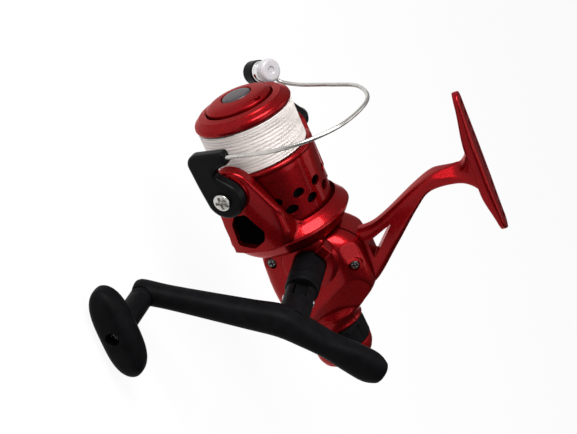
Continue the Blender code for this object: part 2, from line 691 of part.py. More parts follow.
def make_bail():
    """Two levers on the rotor's arms, the wire between them, and the line roller."""
    hub_hole = SCREW_SHANK_R + RUN
    near_frame = axes(on_axis(0) + BAIL_AXIS * (LEVER_MID * MM), AXIS_X, BAIL_SIDE)
    far_frame = axes(on_axis(0) - BAIL_AXIS * (LEVER_MID * MM), AXIS_X, BAIL_SIDE)
    near = bevelled(plate("bail_arm_near", lever_outline(-0.4, 9.0, 5.6), LEVER_THICK, near_frame), 0.9)
    cut(near, rod("near_hub_hole", hub_hole, 0, 60, on_axis(PIVOT_X), BAIL_AXIS))
    far_points = arc((PIVOT_X, 0), FAR_HUB_R, 40, 275, 11)
    far_points += [(-12.0, -8.4), (-3.0, -14.0), (3.6, -14.4), (6.0, -11.4), (3.6, -9.4), (-3.2, -9.0), (-9.0, -3.8)]
    far = bevelled(plate("bail_arm_far", far_points, LEVER_THICK, far_frame), 0.7)
    lug = rod("roller_lug", ROLLER_LUG_R, 0, ROLLER_LUG, ROLLER_PLACE, ROLLER_AXIS, FEW_STEPS + 4)
    roller_low = ROLLER_LUG + SEAT
    roller_high = roller_low + ROLLER_LENGTH
    cap_low = roller_high + SEAT
    cap_high = cap_low + ROLLER_CAP_H
    cap_floor = cap_low + ROLLER_CAP_H * 0.5
    pin = rod("roller_pin", ROLLER_PIN_R, ROLLER_LUG - 2.0, cap_floor, ROLLER_PLACE, ROLLER_AXIS)
    join(far, lug, pin)
    cut(far, rod("far_hub_hole", hub_hole, 0, 60, on_axis(PIVOT_X), -BAIL_AXIS))
    finish(far, BLACK_PLASTIC)
    bush_r = ROLLER_PIN_R + 1.0
    bush = ring("roller_bush", ROLLER_PIN_R + SEAT, bush_r, roller_low, roller_high, ROLLER_PLACE, ROLLER_AXIS)
    finish(bush, WHITE_PLASTIC)
    waist = ROLLER_R - 0.8
    middle = (roller_low + roller_high) / 2
    groove = [
        (bush_r + SEAT, roller_low),
        (bush_r + SEAT, roller_high),
        (ROLLER_R, roller_high),
        (ROLLER_R, roller_high - 0.6),
        (waist, middle + 0.4),
        (waist, middle - 0.4),
        (ROLLER_R, roller_low + 0.6),
        (ROLLER_R, roller_low),
    ]
    finish(turned("line_roller", groove, ROLLER_PLACE, ROLLER_AXIS), ROLLER_METAL)
    hollow = ROLLER_PIN_R + SEAT
    cap = [
        (0, cap_high),
        (ROLLER_CAP_R - 0.8, cap_high),
        (ROLLER_CAP_R, cap_high - 0.7),
        (ROLLER_CAP_R, cap_low),
        (hollow, cap_low),
        (hollow, cap_floor + SEAT),
        (0, cap_floor + SEAT),
    ]
    roller_cap = turned("roller_cap", cap, ROLLER_PLACE, ROLLER_AXIS)

    wire_near = near_frame @ Vector((-3.4 * MM, 9.0 * MM, 0))
    bow = (
        (-5.4, 37.0, 17.0, 1.0),
        (-6.8, 33.6, 32.4, 0.9),
        (-7.8, 23.4, 45.2, 0.6),
        (-8.4, 5.0, 51.6, 0.1),
        (-8.2, -12.6, 45.4, -0.4),
        (-7.2, -21.6, 32.0, -0.8),
        (-6.0, -29.2, 17.8, -1.0),
        (-3.2, -31.9, 9.6, -1.0),
        (0.2, -31.1, 8.2, -1.0),
    )
    spread = (LEVER_MID - WIRE_DRAWN_AT) * MM
    route = [wire_near - BAIL_SIDE * 2.4 * MM, wire_near + BAIL_SIDE * 1.0 * MM]
    route += [reel(x, y, z) + BAIL_AXIS * (share * spread) for x, y, z, share in bow]
    path = [Vector(p) for p in smooth(route, 4)]
    bail = wire("bail_wire", path[1:], BAIL_WIRE_R, 2)
    finish(bail, STEEL)
    socket = wire("wire_socket", path[:5], BAIL_WIRE_R + SEAT, 2)
    far_socket = wire("wire_far_socket", path[-5:] + [2 * path[-1] - path[-2]], BAIL_WIRE_R + SEAT, 2)
    cut(near, solid(socket))
    finish(near, BLACK_PLASTIC)
    cut(roller_cap, solid(far_socket))
    finish(roller_cap, WHITE_PLASTIC)
    for name, out in (("bail_screw_near", BAIL_AXIS), ("bail_screw_far", -BAIL_AXIS)):
        seat = LEVER_LOW + LEVER_THICK + SEAT
        make_screw(name, SCREW_HEAD_R, SCREW_HEAD_H, SCREW_SHANK_R, seat - ARM_IN_R - 1.0, seat, PIVOT_X, out)


def solid(obj):
    """Makes a mesh of a curve, with its caps welded, in the curve's place."""
    bpy.context.view_layer.update()
    mesh = bpy.data.meshes.new_from_object(obj.evaluated_get(bpy.context.evaluated_depsgraph_get()))
    shape = bmesh.new()
    shape.from_mesh(mesh)
    bmesh.ops.remove_doubles(shape, verts=shape.verts, dist=1e-7)
    bmesh.ops.recalc_face_normals(shape, faces=shape.faces)
    shape.to_mesh(mesh)
    shape.free()
    made = add(obj.name + "_solid", mesh)
    made.matrix_world = obj.matrix_world
    bpy.data.objects.remove(obj, do_unlink=True)
    return made


def make_screw(name, head_r, head_h, shank_r, shank_length, seat, x, out, place=None):
    """A cross-head screw whose head rests at a height on an axis."""
    origin = on_axis(x) if place is None else place
    profile = [
        (0, seat + head_h),
        (head_r - 0.5, seat + head_h),
        (head_r, seat + head_h - 0.5),
        (head_r, seat),
        (shank_r, seat),
        (shank_r, seat - shank_length),
        (0, seat - shank_length),
    ]
    screw = turned(name, profile, origin, out, FEW_STEPS)
    side = out.orthogonal().normalized()
    slot = head_r * 0.36
    reach = head_r * 1.3
    cross = [(slot, reach), (-slot, reach), (-slot, -reach), (slot, -reach)]
    for k, turn in enumerate((side, out.cross(side))):
        frame = axes(origin + out * ((seat + head_h) * MM), turn, out.cross(turn))
        recess = [(x * 0.5, y * 0.55) for x, y in cross]
        cut(screw, plate(f"{name}_slot_{k}", recess, head_h, frame))
    return finish(screw, STEEL)


def make_pinion():
    """Pinion on the main shaft, its bearing, and the anti-reverse ratchet that it turns."""
    front = ROTOR_FRONT + NUT_HEIGHT + SEAT
    teeth_front = BEARING_SHOULDER - 4.0
    rear = CASE_FRONT - 3.2
    tube = [
        (SHAFT_R + SEAT, front),
        (PINION_R, front),
        (PINION_R, teeth_front),
        (PINION_R - PINION_TOOTH - 0.2, teeth_front),
        (PINION_R - PINION_TOOTH - 0.2, rear),
        (SHAFT_R + SEAT, rear),
    ]
    pinion = turned("pinion_gear", tube, on_axis(0), AXIS_X, FEW_STEPS)
    length = teeth_front - rear + 0.4
    middle = (teeth_front + 0.4 + rear) / 2
    teeth = plate(
        "pinion_teeth",
        gear_outline(PINION_R, PINION_TEETH, PINION_TOOTH),
        length,
        axes(on_axis(middle), AXIS_Y, AXIS_Z),
    )
    cut(teeth, rod("pinion_bore", PINION_R - PINION_TOOTH - 0.5, -30, 30, on_axis(middle), AXIS_X, FEW_STEPS))
    join(pinion, teeth)
    finish(pinion, BRASS)
    bearing = [
        (PINION_R + SEAT, BOSS_FRONT - SEAT),
        (PINION_R + SEAT, BOSS_FRONT - BEARING_WIDTH),
        (BEARING_R, BOSS_FRONT - BEARING_WIDTH),
        (BEARING_R, BOSS_FRONT - SEAT),
        (BEARING_R - 1.4, BOSS_FRONT - SEAT),
        (BEARING_R - 1.7, BOSS_FRONT - SEAT - 0.5),
        (PINION_R + SEAT + 1.5, BOSS_FRONT - SEAT - 0.5),
        (PINION_R + SEAT + 1.2, BOSS_FRONT - SEAT),
    ]
    finish(turned("pinion_bearing", bearing, on_axis(0), AXIS_X), STEEL)
    ratchet_x = BOSS_FRONT + RATCHET_THICK + 1.2
    wheel = []
    for k in range(RATCHET_TEETH):
        for part, r in ((0.0, RATCHET_R), (0.06, RATCHET_R - 1.5)):
            turn = (k + part) * math.tau / RATCHET_TEETH
            wheel.append((r * math.cos(turn), r * math.sin(turn)))
    frame = axes(on_axis(ratchet_x - RATCHET_THICK / 2), AXIS_Y, AXIS_Z)
    ratchet = plate("ratchet_wheel", wheel, RATCHET_THICK, frame)
    cut(ratchet, rod("ratchet_bore", PINION_R + SEAT, -RATCHET_THICK, RATCHET_THICK, frame.translation, AXIS_X))
    finish(ratchet, ZINC)
    make_pawl(frame.translation)


def pawl_place():
    """Where the pawl pivots on the boss's front face, below the ratchet."""
    reach = RATCHET_R + 4.2
    return reach * math.cos(math.radians(-60)), reach * math.sin(math.radians(-60))


def make_pawl(place):
    """Anti-reverse pawl beside the ratchet, turning on a post of the gear case."""
    y, z = pawl_place()
    frame = axes(place + Vector((0, y, z)) * MM, (0, -0.8, -0.6), (0, 0.6, -0.8))
    eye = arc((0, 0), 2.0, 60, 300, 7)
    outline = [*eye, (PAWL_REACH - 1.0, -1.1), (PAWL_REACH, 0.2), (PAWL_REACH - 0.6, 1.0)]
    pawl = plate("anti_reverse_pawl", outline, RATCHET_THICK - 0.6, frame)
    cut(pawl, rod("pawl_hole", 0.8 + SEAT, -5, 5, frame.translation, AXIS_X, 12))
    finish(pawl, ZINC)


def case_rings(inset, front, count=24):
    """Rings of the gear case from its front face to its round tail, drawn in by an inset."""
    stations = (
        (0.0, CASE_LOW - 0.8, CASE_TOP - 8.0, CASE_HALF_WIDTH - 1.2, 2.4),
        (0.10, CASE_LOW - 0.6, CASE_TOP - 5.0, CASE_HALF_WIDTH - 0.5, 2.7),
        (0.20, CASE_LOW - 0.4, CASE_TOP - 1.8, CASE_HALF_WIDTH, 3.0),
        (0.45, CASE_LOW, CASE_TOP, CASE_HALF_WIDTH, 3.2),
        (0.70, CASE_LOW - 0.4, CASE_TOP - 1.4, CASE_HALF_WIDTH - 0.4, 3.0),
        (0.86, CASE_LOW - 1.4, CASE_TOP - 8.0, CASE_HALF_WIDTH - 1.4, 2.5),
        (1.0, TAIL_R, TAIL_R, TAIL_R, 2.0),
    )
    rear = CASE_REAR + (inset * 5 if inset else 0)
    rings = []
    for share, low, top, width, power in stations:
        x = front + share * (rear - front)
        section = oval(width - inset, (low + top) / 2 - inset, power, count)
        middle = (top - low) / 2
        rings.append([reel(x, y, z + middle) for y, z in section])
    return rings


def handle_place(y):
    return reel(HANDLE_X, y, HANDLE_Z)


def cover_screws():
    """Each cover screw's name, place across the cover and the height of its seat."""
    return (
        ("cover_screw_top", CASE_FRONT - 15.8, 22.4, 11.6),
        ("cover_screw_low", CASE_FRONT - 4.6, -10.2, 12.4),
    )


def make_case():
    """Gear case with its stem and foot in one casting, and the side cover that closes it."""
    frame = loft("main_frame", case_rings(0, CASE_FRONT))
    far = 200
    bush_y = -CASE_HALF_WIDTH + 1.0
    post_y, post_z = pawl_place()
    solids = [
        make_stem(),
        make_foot(),
        rod("frame_bush_boss", BUSH_R + 1.8, bush_y, bush_y + BUSH_LENGTH + 0.4, handle_place(0), AXIS_Y),
        rod("pawl_post", 0.8, BOSS_FRONT - 1, BOSS_FRONT + RATCHET_THICK + 1.2, reel(0, post_y, post_z), AXIS_X, 12),
    ]
    rest = CASE_FRONT - CASE_WALL - 3.6
    solids.append(box("guide_rest", (rest, GUIDE_Y - 2.6, -CASE_LOW + 0.6), (rest + 2.8, GUIDE_Y + 2.6, GUIDE_Z + 2.6)))
    seam = SEAM_Y - SEAT / 2
    gear_y = -PINION_R - SEAT
    ways = [
        rod("guide_way", GUIDE_R + SEAT, CASE_REAR + 8.7, rest + 5, reel(0, GUIDE_Y, GUIDE_Z), AXIS_X, 10),
        rod("gear_way", DRIVE_R + RUN, gear_y - DRIVE_THICK - RUN, gear_y + 1.0, handle_place(0), AXIS_Y, STEPS),
        box("frame_trim", (-far, seam, -far), (CASE_FRONT + SEAT, far, CASE_TOP + 5)),
        rod("frame_bush_seat", BUSH_R + SEAT, bush_y + 0.6, 0, handle_place(0), AXIS_Y),
        rod("frame_shaft_hole", DRIVE_TUBE_R + RUN, -CASE_HALF_WIDTH - 9, 1, handle_place(0), AXIS_Y),
        rod("switch_hole", 1.6 + SEAT, -CASE_LOW - 5, -CASE_LOW + 5, switch_place(), AXIS_Z, 12),
    ]
    for name, x, z, seat in cover_screws():
        wall = CASE_TOP - 0.6 if z > 0 else -CASE_LOW + 0.6
        low, high = min(z - 2.8, wall), max(z + 2.8, wall)
        solids.append(box(f"{name}_pillar", (x - 2.8, -1.0, low), (x + 2.8, SEAM_Y + 2, high)))
        ways.append(rod(f"{name}_bore", 1.4, 0.4, SEAM_Y + 4, reel(x, 0, z), AXIS_Y, 10))
    for name, radius, low, high in (
        ("shaft_way", BOSS_R - BOSS_WALL, CASE_FRONT - CASE_WALL - 0.5, CASE_FRONT + 6.8),
        ("pinion_way", PINION_R + 1.2, CASE_FRONT, BOSS_FRONT + 1),
        ("bearing_seat", BEARING_R + SEAT, BEARING_SHOULDER, BOSS_FRONT + 2),
        ("drag_way", DRAG_SLEEVE_R + RUN, CASE_REAR - 1, CASE_REAR + 14),
        ("drag_bore", DRAG_BORE_R, CASE_REAR - 2, CASE_REAR + DRAG_BORE_DEPTH),
    ):
        ways.append(rod(f"frame_{name}", radius, low, high, on_axis(0), AXIS_X, STEPS))
    solids.append(rod("front_boss", BOSS_R, CASE_FRONT - 1.5, BOSS_FRONT, on_axis(0), AXIS_X, STEPS))
    cut(frame, loft("case_cavity", case_rings(CASE_WALL, CASE_FRONT - CASE_WALL)))
    join(frame, *solids)
    cut(frame, *ways)
    finish(frame, RED_PAINT)
    guide = rod("guide_rod", GUIDE_R, CASE_REAR + 9.1, rest + 2.6, reel(0, GUIDE_Y, GUIDE_Z), AXIS_X)
    finish(guide, STEEL)

    cover = loft("side_cover", case_rings(0, CASE_FRONT - SEAT))
    cover_y = CASE_HALF_WIDTH
    osc_x, osc_z = osc_place()
    solids = [
        rod("collar_boss", COLLAR_BOSS_R, 10.2, cover_y + 1.0, handle_place(0), AXIS_Y),
        rod("osc_post", 1.8, osc_y() + SEAT, cover_y - 1.0, reel(osc_x, 0, osc_z), AXIS_Y, 12),
    ]
    ways = [
        rod("cover_drag_bore", DRAG_BORE_R, CASE_REAR - 1, CASE_REAR + DRAG_BORE_DEPTH, on_axis(0), AXIS_X),
        rod("cover_bush_seat", BUSH_R + SEAT, 5, cover_bush_top(), handle_place(0), AXIS_Y),
        rod("cover_neck_hole", COLLAR_R - 1.5, 7, cover_y + 3, handle_place(0), AXIS_Y),
    ]
    for name, x, z, seat in cover_screws():
        solids.append(rod(f"{name}_sleeve", 3.4, SEAM_Y + 0.6, seat + 0.6, reel(x, 0, z), AXIS_Y, 12))
        ways.append(rod(f"{name}_well", 2.6, seat, cover_y + 5, reel(x, 0, z), AXIS_Y, 16))
        ways.append(rod(f"{name}_hole", 1.4, 0, seat + 1, reel(x, 0, z), AXIS_Y, 10))
    cavity = loft("cover_cavity", case_rings(CASE_WALL, CASE_FRONT - CASE_WALL))
    cut(cover, cavity, box("cover_trim", (-far, -far, -far), (far, SEAM_Y + SEAT / 2, far)))
    join(cover, *solids)
    cut(cover, *ways)
    finish(cover, RED_PAINT)
    for name, x, z, seat in cover_screws():
        make_screw(name, 2.2, 1.2, 1.1, seat - 1.0, seat + SEAT, 0, AXIS_Y, reel(x, 0, z))

    top = cover_bush_top() - SEAT
    low = bush_y + 0.6 + SEAT
    bore = DRIVE_TUBE_R + SEAT
    finish(ring("handle_bush", bore, BUSH_R, top - BUSH_LENGTH, top, handle_place(0), AXIS_Y), BRASS)
    finish(ring("frame_bush", bore, BUSH_R, low, low + BUSH_LENGTH, handle_place(0), AXIS_Y), BRASS)


def cover_bush_top():
    return CASE_HALF_WIDTH - 1.4


def foot_under():
    """Height of the foot's underside at its root."""
    return FOOT_HEIGHT - FOOT_ROOT


def make_stem():
    """Slanted leg from the back of the case to the foot, with a three-cornered window."""
    neck_z = FOOT_HEIGHT - NECK_BELOW_FOOT
    half = STEM_NECK / 2
    root = CASE_TOP - 6.0
    under = foot_under() + 1.2
    front = [
        (CASE_FRONT - 5.0, root),
        (CASE_FRONT - 4.6, CASE_TOP + 6.4),
        (NECK_X + half - 4.4, neck_z - 14.0),
        (NECK_X + half - 0.6, neck_z - 4.6),
        (NECK_X + half, neck_z + 4.2),
        (NECK_X + half + 2.0, under - 2.6),
        (NECK_X + half + 9.0, under),
    ]
    rear = [
        (NECK_X - half - 9.0, under),
        (NECK_X - half - 3.4, under - 2.4),
        (NECK_X - half, neck_z + 4.6),
        (NECK_X - half, neck_z - 7.0),
        (NECK_X - half - 6.0, neck_z - 15.0),
        (CASE_FRONT - 16.4, CASE_TOP + 13.2),
        (CASE_FRONT - 31.0, CASE_TOP - 2.2),
        (CASE_FRONT - 31.0, root - 6.0),
    ]
    outline = smooth_corners(front + rear, 1.6)
    stem = bevelled(plate("stem", outline, STEM_THICK, axes(on_axis(0), AXIS_X, AXIS_Z)), 1.4, 1)
    window = [
        (CASE_FRONT - 5.6, CASE_TOP + 14.4),
        (CASE_FRONT - 11.4, CASE_TOP + 1.6),
        (CASE_FRONT - 19.4, CASE_TOP + 1.8),
    ]
    opening = plate("stem_window", smooth_corners(window, 1.2), 3 * STEM_THICK, axes(on_axis(0), AXIS_X, AXIS_Z))
    return cut(stem, opening)


def smooth_corners(points, radius, count=3):
    """Rounds each corner of an outline with a short arc-like blend."""
    out = []
    for k, corner in enumerate(points):
        c = np.array(corner, float)
        a = np.array(points[k - 1], float)
        b = np.array(points[(k + 1) % len(points)], float)
        to_a = (a - c) / np.linalg.norm(a - c)
        to_b = (b - c) / np.linalg.norm(b - c)
        pull = min(radius, 0.4 * np.linalg.norm(a - c), 0.4 * np.linalg.norm(b - c))
        for t in np.linspace(0, 1, count):
            blend = (1 - t) ** 2 * (c + to_a * pull) + 2 * t * (1 - t) * c + t**2 * (c + to_b * pull)
            out.append(tuple(blend))
    return out


def make_foot():
    """Foot plate: flat outer face, thicker over the stem, with rounded tapering ends."""
    rear = FOOT_FRONT - FOOT_LENGTH
    top = FOOT_HEIGHT
    side = [
        (FOOT_FRONT, top),
        (rear, top),
        (rear, top - FOOT_TIP),
        (NECK_X - STEM_NECK - 3.0, foot_under()),
        (NECK_X + STEM_NECK, foot_under()),
        (FOOT_FRONT, top - FOOT_TIP),
    ]
    foot = plate("foot", side, FOOT_WIDTH, axes(on_axis(0), AXIS_X, AXIS_Z))
    half, end = FOOT_WIDTH / 2, FOOT_WIDTH / 2 - 1.6
    plan = [
        *arc((FOOT_FRONT - end, 0), end, -80, 80, 7),
        (FOOT_FRONT - 0.4 * FOOT_LENGTH, half),
        (rear + 0.4 * FOOT_LENGTH, half),
        *arc((rear + end, 0), end, 100, 260, 7),
        (rear + 0.4 * FOOT_LENGTH, -half),
        (FOOT_FRONT - 0.4 * FOOT_LENGTH, -half),
    ]
    keep(foot, plate("foot_plan", plan, 40, axes(reel(0, 0, top), AXIS_X, AXIS_Y)))
    pockets = []
    for first, step in ((FOOT_FRONT - 5.0, -4.8), (rear + 6.0, 4.8)):
        for k in range(4):
            place = reel(first + k * step, 0, top)
            pockets.append(plate("foot_pocket", oval(1.7, 1.3, 2, 6).tolist(), 2.0, axes(place, AXIS_X, AXIS_Y)))
    return cut(foot, as_one("foot_pockets", pockets))


def osc_place():
    """Centre of the oscillation gear, one pitch distance from the handle axis."""
    reach = STEP_GEAR_R + osc_radius() + RUN
    return HANDLE_X + reach * math.cos(OSC_ANGLE), HANDLE_Z + reach * math.sin(OSC_ANGLE)


def osc_radius():
    return STEP_GEAR_R * OSC_TEETH / STEP_GEAR_TEETH


def osc_y():
    """Inner face of the oscillation gear."""
    return PINION_R + SEAT


def make_handle_train():
    """Drive gear and its tube, the shaft through it, and the gear that strokes the spool."""
    wheel_y = -PINION_R - SEAT - DRIVE_THICK / 2
    tube_low = -CASE_HALF_WIDTH - 1.0
    tube_high = cover_bush_top() + 0.7
    bore = HANDLE_SHAFT_R + SEAT
    wheel = plate(
        "drive_wheel",
        gear_outline(DRIVE_R, DRIVE_TEETH, DRIVE_TOOTH),
        DRIVE_THICK,
        axes(handle_place(wheel_y), AXIS_X, AXIS_Z),
    )
    step_y = osc_y() + OSC_THICK / 2
    step = plate(
        "step_gear",
        gear_outline(STEP_GEAR_R, STEP_GEAR_TEETH, DRIVE_TOOTH),
        OSC_THICK,
        axes(handle_place(step_y), AXIS_X, AXIS_Z),
    )
    tube = rod("drive_tube", DRIVE_TUBE_R, tube_low, tube_high, handle_place(0), AXIS_Y)
    drive = as_one("drive_gear", [tube, wheel, step])
    cut(drive, rod("drive_bore", bore, tube_low - 5, tube_high + 5, handle_place(0), AXIS_Y))
    finish(drive, ZINC)
    low = tube_low - CAP_SCREW_H * 0.6
    high = CASE_HALF_WIDTH + 1.0 + SEAT + COLLAR_LENGTH * 0.5
    finish(rod("handle_shaft", HANDLE_SHAFT_R, low, high, handle_place(0), AXIS_Y), STEEL)
    cap_top = tube_low - SEAT
    cap = [
        (0, cap_top - CAP_SCREW_H),
        (CAP_SCREW_R - 1.2, cap_top - CAP_SCREW_H),
        (CAP_SCREW_R, cap_top - CAP_SCREW_H + 1.2),
        (CAP_SCREW_R, cap_top),
        (bore, cap_top),
        (bore, low - SEAT),
        (0, low - SEAT),
    ]
    finish(turned("handle_cap", cap, handle_place(0), AXIS_Y), BLACK_PLASTIC)
    x, z = osc_place()
    osc = plate(
        "oscillation_gear",
        gear_outline(osc_radius(), OSC_TEETH, DRIVE_TOOTH),
        OSC_THICK,
        axes(reel(x, step_y, z), AXIS_X, AXIS_Z),
    )
    crank_pin = rod("osc_pin", 1.2, osc_y() - 0.5, osc_y() + 1.0, reel(x - STROKE / 2, 0, z), AXIS_Y, 12)
    join(osc, crank_pin)
    cut(osc, rod("osc_bore", 1.8 + SEAT, -20, 20, reel(x, 0, z), AXIS_Y, 12))
    finish(osc, ZINC)


def make_slider():
    """Block that pushes the main shaft to and fro, guided by a rod."""
    x = osc_place()[0] - STROKE / 2
    low, high = x - SLIDER_LENGTH / 2, x + SLIDER_LENGTH / 2
    slider = box("oscillation_slider", (low, -6.0, GUIDE_Z - 2.2), (high, osc_y() - 0.5 - RUN, 4.4))
    cut(slider, rod("slider_bore", SHAFT_R + SEAT, low - 5, high + 5, on_axis(0), AXIS_X))
    wheel_low = HANDLE_Z - DRIVE_R - RUN
    wheel_face = -PINION_R - SEAT + RUN
    way = box("slider_wheel_way", (low - 5, -20, wheel_low), (high + 5, wheel_face, 20))
    cut(slider, rod("slider_guide", GUIDE_R + SEAT, low - 5, high + 5, reel(0, GUIDE_Y, GUIDE_Z), AXIS_X), way)
    finish(slider, GREY_PLASTIC)


def make_handle():
    """Handle: collar on the shaft, folding hub and arm, and the knob on its spindle."""
    collar_low = CASE_HALF_WIDTH + 1.0 + SEAT
    collar_high = collar_low + COLLAR_LENGTH
    pin_y = collar_high + FOLD_FROM_COLLAR
    bore = HANDLE_SHAFT_R + SEAT
    profile = [
        (bore, collar_low - 1.6),
        (COLLAR_R - 1.9, collar_low - 1.6),
        (COLLAR_R - 1.9, collar_low),
        (COLLAR_R, collar_low),
        (COLLAR_R, collar_high - 1.6),
        (COLLAR_R - 0.5, collar_high),
        (0, collar_high),
        (0, collar_low + COLLAR_LENGTH * 0.5 + SEAT),
        (bore, collar_low + COLLAR_LENGTH * 0.5 + SEAT),
    ]
    collar = turned("handle_collar", profile, handle_place(0), AXIS_Y)
    half = TONGUE_WIDTH / 2
    root = -FOLD_FROM_COLLAR - 2.0
    tongue = plate(
        "fold_tongue",
        [(root, half), (root, -half), *arc((0, 0), half, -90, 90, 9)],
        TONGUE_THICK,
        axes(handle_place(pin_y), AXIS_Y, FOLD_SIDE),
    )
    join(collar, tongue)
    cut(collar, rod("tongue_hole", FOLD_PIN_R + SEAT, -20, 20, handle_place(pin_y), ARM_AXIS, 12))
    finish(collar, BLACK_PLASTIC)
    pin = rod("fold_pin", FOLD_PIN_R, -HUB_R + 0.3, HUB_R - 0.3, handle_place(pin_y), ARM_AXIS, 12)
    finish(pin, STEEL)
    make_arm(collar_high + RUN, pin_y)


def arm_rings(arm_y):
    """Rings along the handle arm: knob end, hub bend and counter paddle."""
    hub = np.array((HANDLE_X, HANDLE_Z))
    out = np.array((math.cos(ARM_DIRECTION), math.sin(ARM_DIRECTION)))
    back = np.array((math.cos(PADDLE_DIRECTION), math.sin(PADDLE_DIRECTION)))
    rise = np.array((-out[1], out[0])) * 0.8
    spine = (
        (hub + rise + out * (ARM_REACH + 4.6), 2.2, 2.6),
        (hub + rise + out * (ARM_REACH + 3.6), 3.8, 4.2),
        (hub + rise + out * ARM_REACH, 4.6, 5.0),
        (hub + rise + out * ARM_REACH * 0.8, 4.5, 5.0),
        (hub + rise + out * ARM_REACH * 0.3, 5.6, 6.0),
        (hub + rise + out * 4.0, 6.6, 6.4),
        (hub + back * 6.0, 5.8, 6.4),
        (hub + back * PADDLE_REACH * 0.4, 5.0, 6.0),
        (hub + back * PADDLE_REACH * 0.64, 6.6, 5.6),
        (hub + back * PADDLE_REACH * 0.84, 7.2, 5.0),
        (hub + back * PADDLE_REACH * 0.96, 5.0, 3.8),
        (hub + back * PADDLE_REACH, 2.4, 2.0),
    )
    rings = []
    for k, (centre, width, depth) in enumerate(spine):
        ahead = spine[min(k + 1, len(spine) - 1)][0] - spine[max(k - 1, 0)][0]
        ahead = ahead / np.linalg.norm(ahead)
        across = np.array((-ahead[1], ahead[0]))
        section = oval(width, depth, 2.3, 16)
        rings.append([reel(centre[0] + across[0] * a, arm_y + d, centre[1] + across[1] * a) for a, d in section])
    return rings


def make_arm(hub_low, pin_y):
    arm_y = pin_y + ARM_OUT - FOLD_FROM_COLLAR
    arm = loft("handle_arm", arm_rings(arm_y))
    hub = rod("handle_hub", HUB_R, hub_low, arm_y - 1.0, handle_place(0), AXIS_Y)
    half = TONGUE_WIDTH / 2 + RUN
    fork = plate(
        "fork_slot",
        [(-20, -half), (half, -half), (half, 20), (-20, 20)],
        TONGUE_THICK + 2 * RUN,
        axes(handle_place(pin_y), AXIS_Y, FOLD_SIDE),
    )
    corner = plate(
        "fork_corner",
        [(-20, 0), (0, 0), (0, 20), (-20, 20)],
        4 * HUB_R,
        axes(handle_place(pin_y), AXIS_Y, FOLD_SIDE),
    )
    round_end = rod("fork_round", FOLD_FROM_COLLAR - RUN, -20, 20, handle_place(pin_y), ARM_AXIS, STEPS)
    cut(corner, round_end)
    cut(hub, fork, corner)
    join(arm, hub)
    cut(arm, rod("fork_hole", FOLD_PIN_R + SEAT, -20, 20, handle_place(pin_y), ARM_AXIS, 12))
    end = reel(
        HANDLE_X + ARM_REACH * math.cos(ARM_DIRECTION), arm_y, HANDLE_Z + ARM_REACH * math.sin(ARM_DIRECTION)
    )
    make_knob(arm, end)


def make_knob(arm, end):
    """Spindle in the arm's end, and the T-shaped knob that spins on it."""
    seat_depth = 3.0
    knob_low = POST_LENGTH
    spindle_top = knob_low + KNOB_DEPTH * 0.6
    profile = [
        (0, seat_depth),
        (POST_R, seat_depth),
        (POST_R, knob_low - SEAT),
        (SPINDLE_R, knob_low - SEAT),
        (SPINDLE_R, spindle_top),
        (0, spindle_top),
    ]
    cut(arm, rod("post_seat", POST_R + SEAT, seat_depth - SEAT, 20, end, KNOB_AXIS))
    finish(arm, BLACK_PLASTIC)
    finish(turned("knob_spindle", profile, end, KNOB_AXIS), BLACK_PLASTIC)

    middle = end + KNOB_AXIS * ((knob_low + KNOB_DEPTH / 2) * MM)
    long_side = (AXIS_X - KNOB_AXIS * AXIS_X.dot(KNOB_AXIS)).normalized()
    wide_side = KNOB_AXIS.cross(long_side)
    half = KNOB_LENGTH / 2
    rings = []
    for share in (-1.0, -0.97, -0.86, -0.6, -0.25, 0.25, 0.6, 0.86, 0.97, 1.0):
        swell = max(1 - abs(share) ** 3.2, 0.02) ** 0.5
        section = oval(KNOB_WIDTH / 2 * swell, KNOB_DEPTH / 2 * (0.25 + 0.75 * swell), 2.6, 16)
        centre = middle + long_side * (share * half * MM)
        rings.append([centre + wide_side * (a * MM) + KNOB_AXIS * (b * MM) for a, b in section])
    knob = loft("handle_knob", rings)
    cut(knob, rod("spindle_way", SPINDLE_R + SEAT, -5, knob_low + KNOB_DEPTH * 0.6, end, KNOB_AXIS))
    cut(knob, rod("knob_hole", KNOB_HOLE_R, knob_low + KNOB_DEPTH * 0.6 - 0.5, 80, end, KNOB_AXIS))
    finish(knob, BLACK_PLASTIC)
    head = spindle_top + SEAT
    make_screw("knob_screw", KNOB_HOLE_R - SEAT, 1.6, 1.0, 0.1, head, 0, KNOB_AXIS, end)


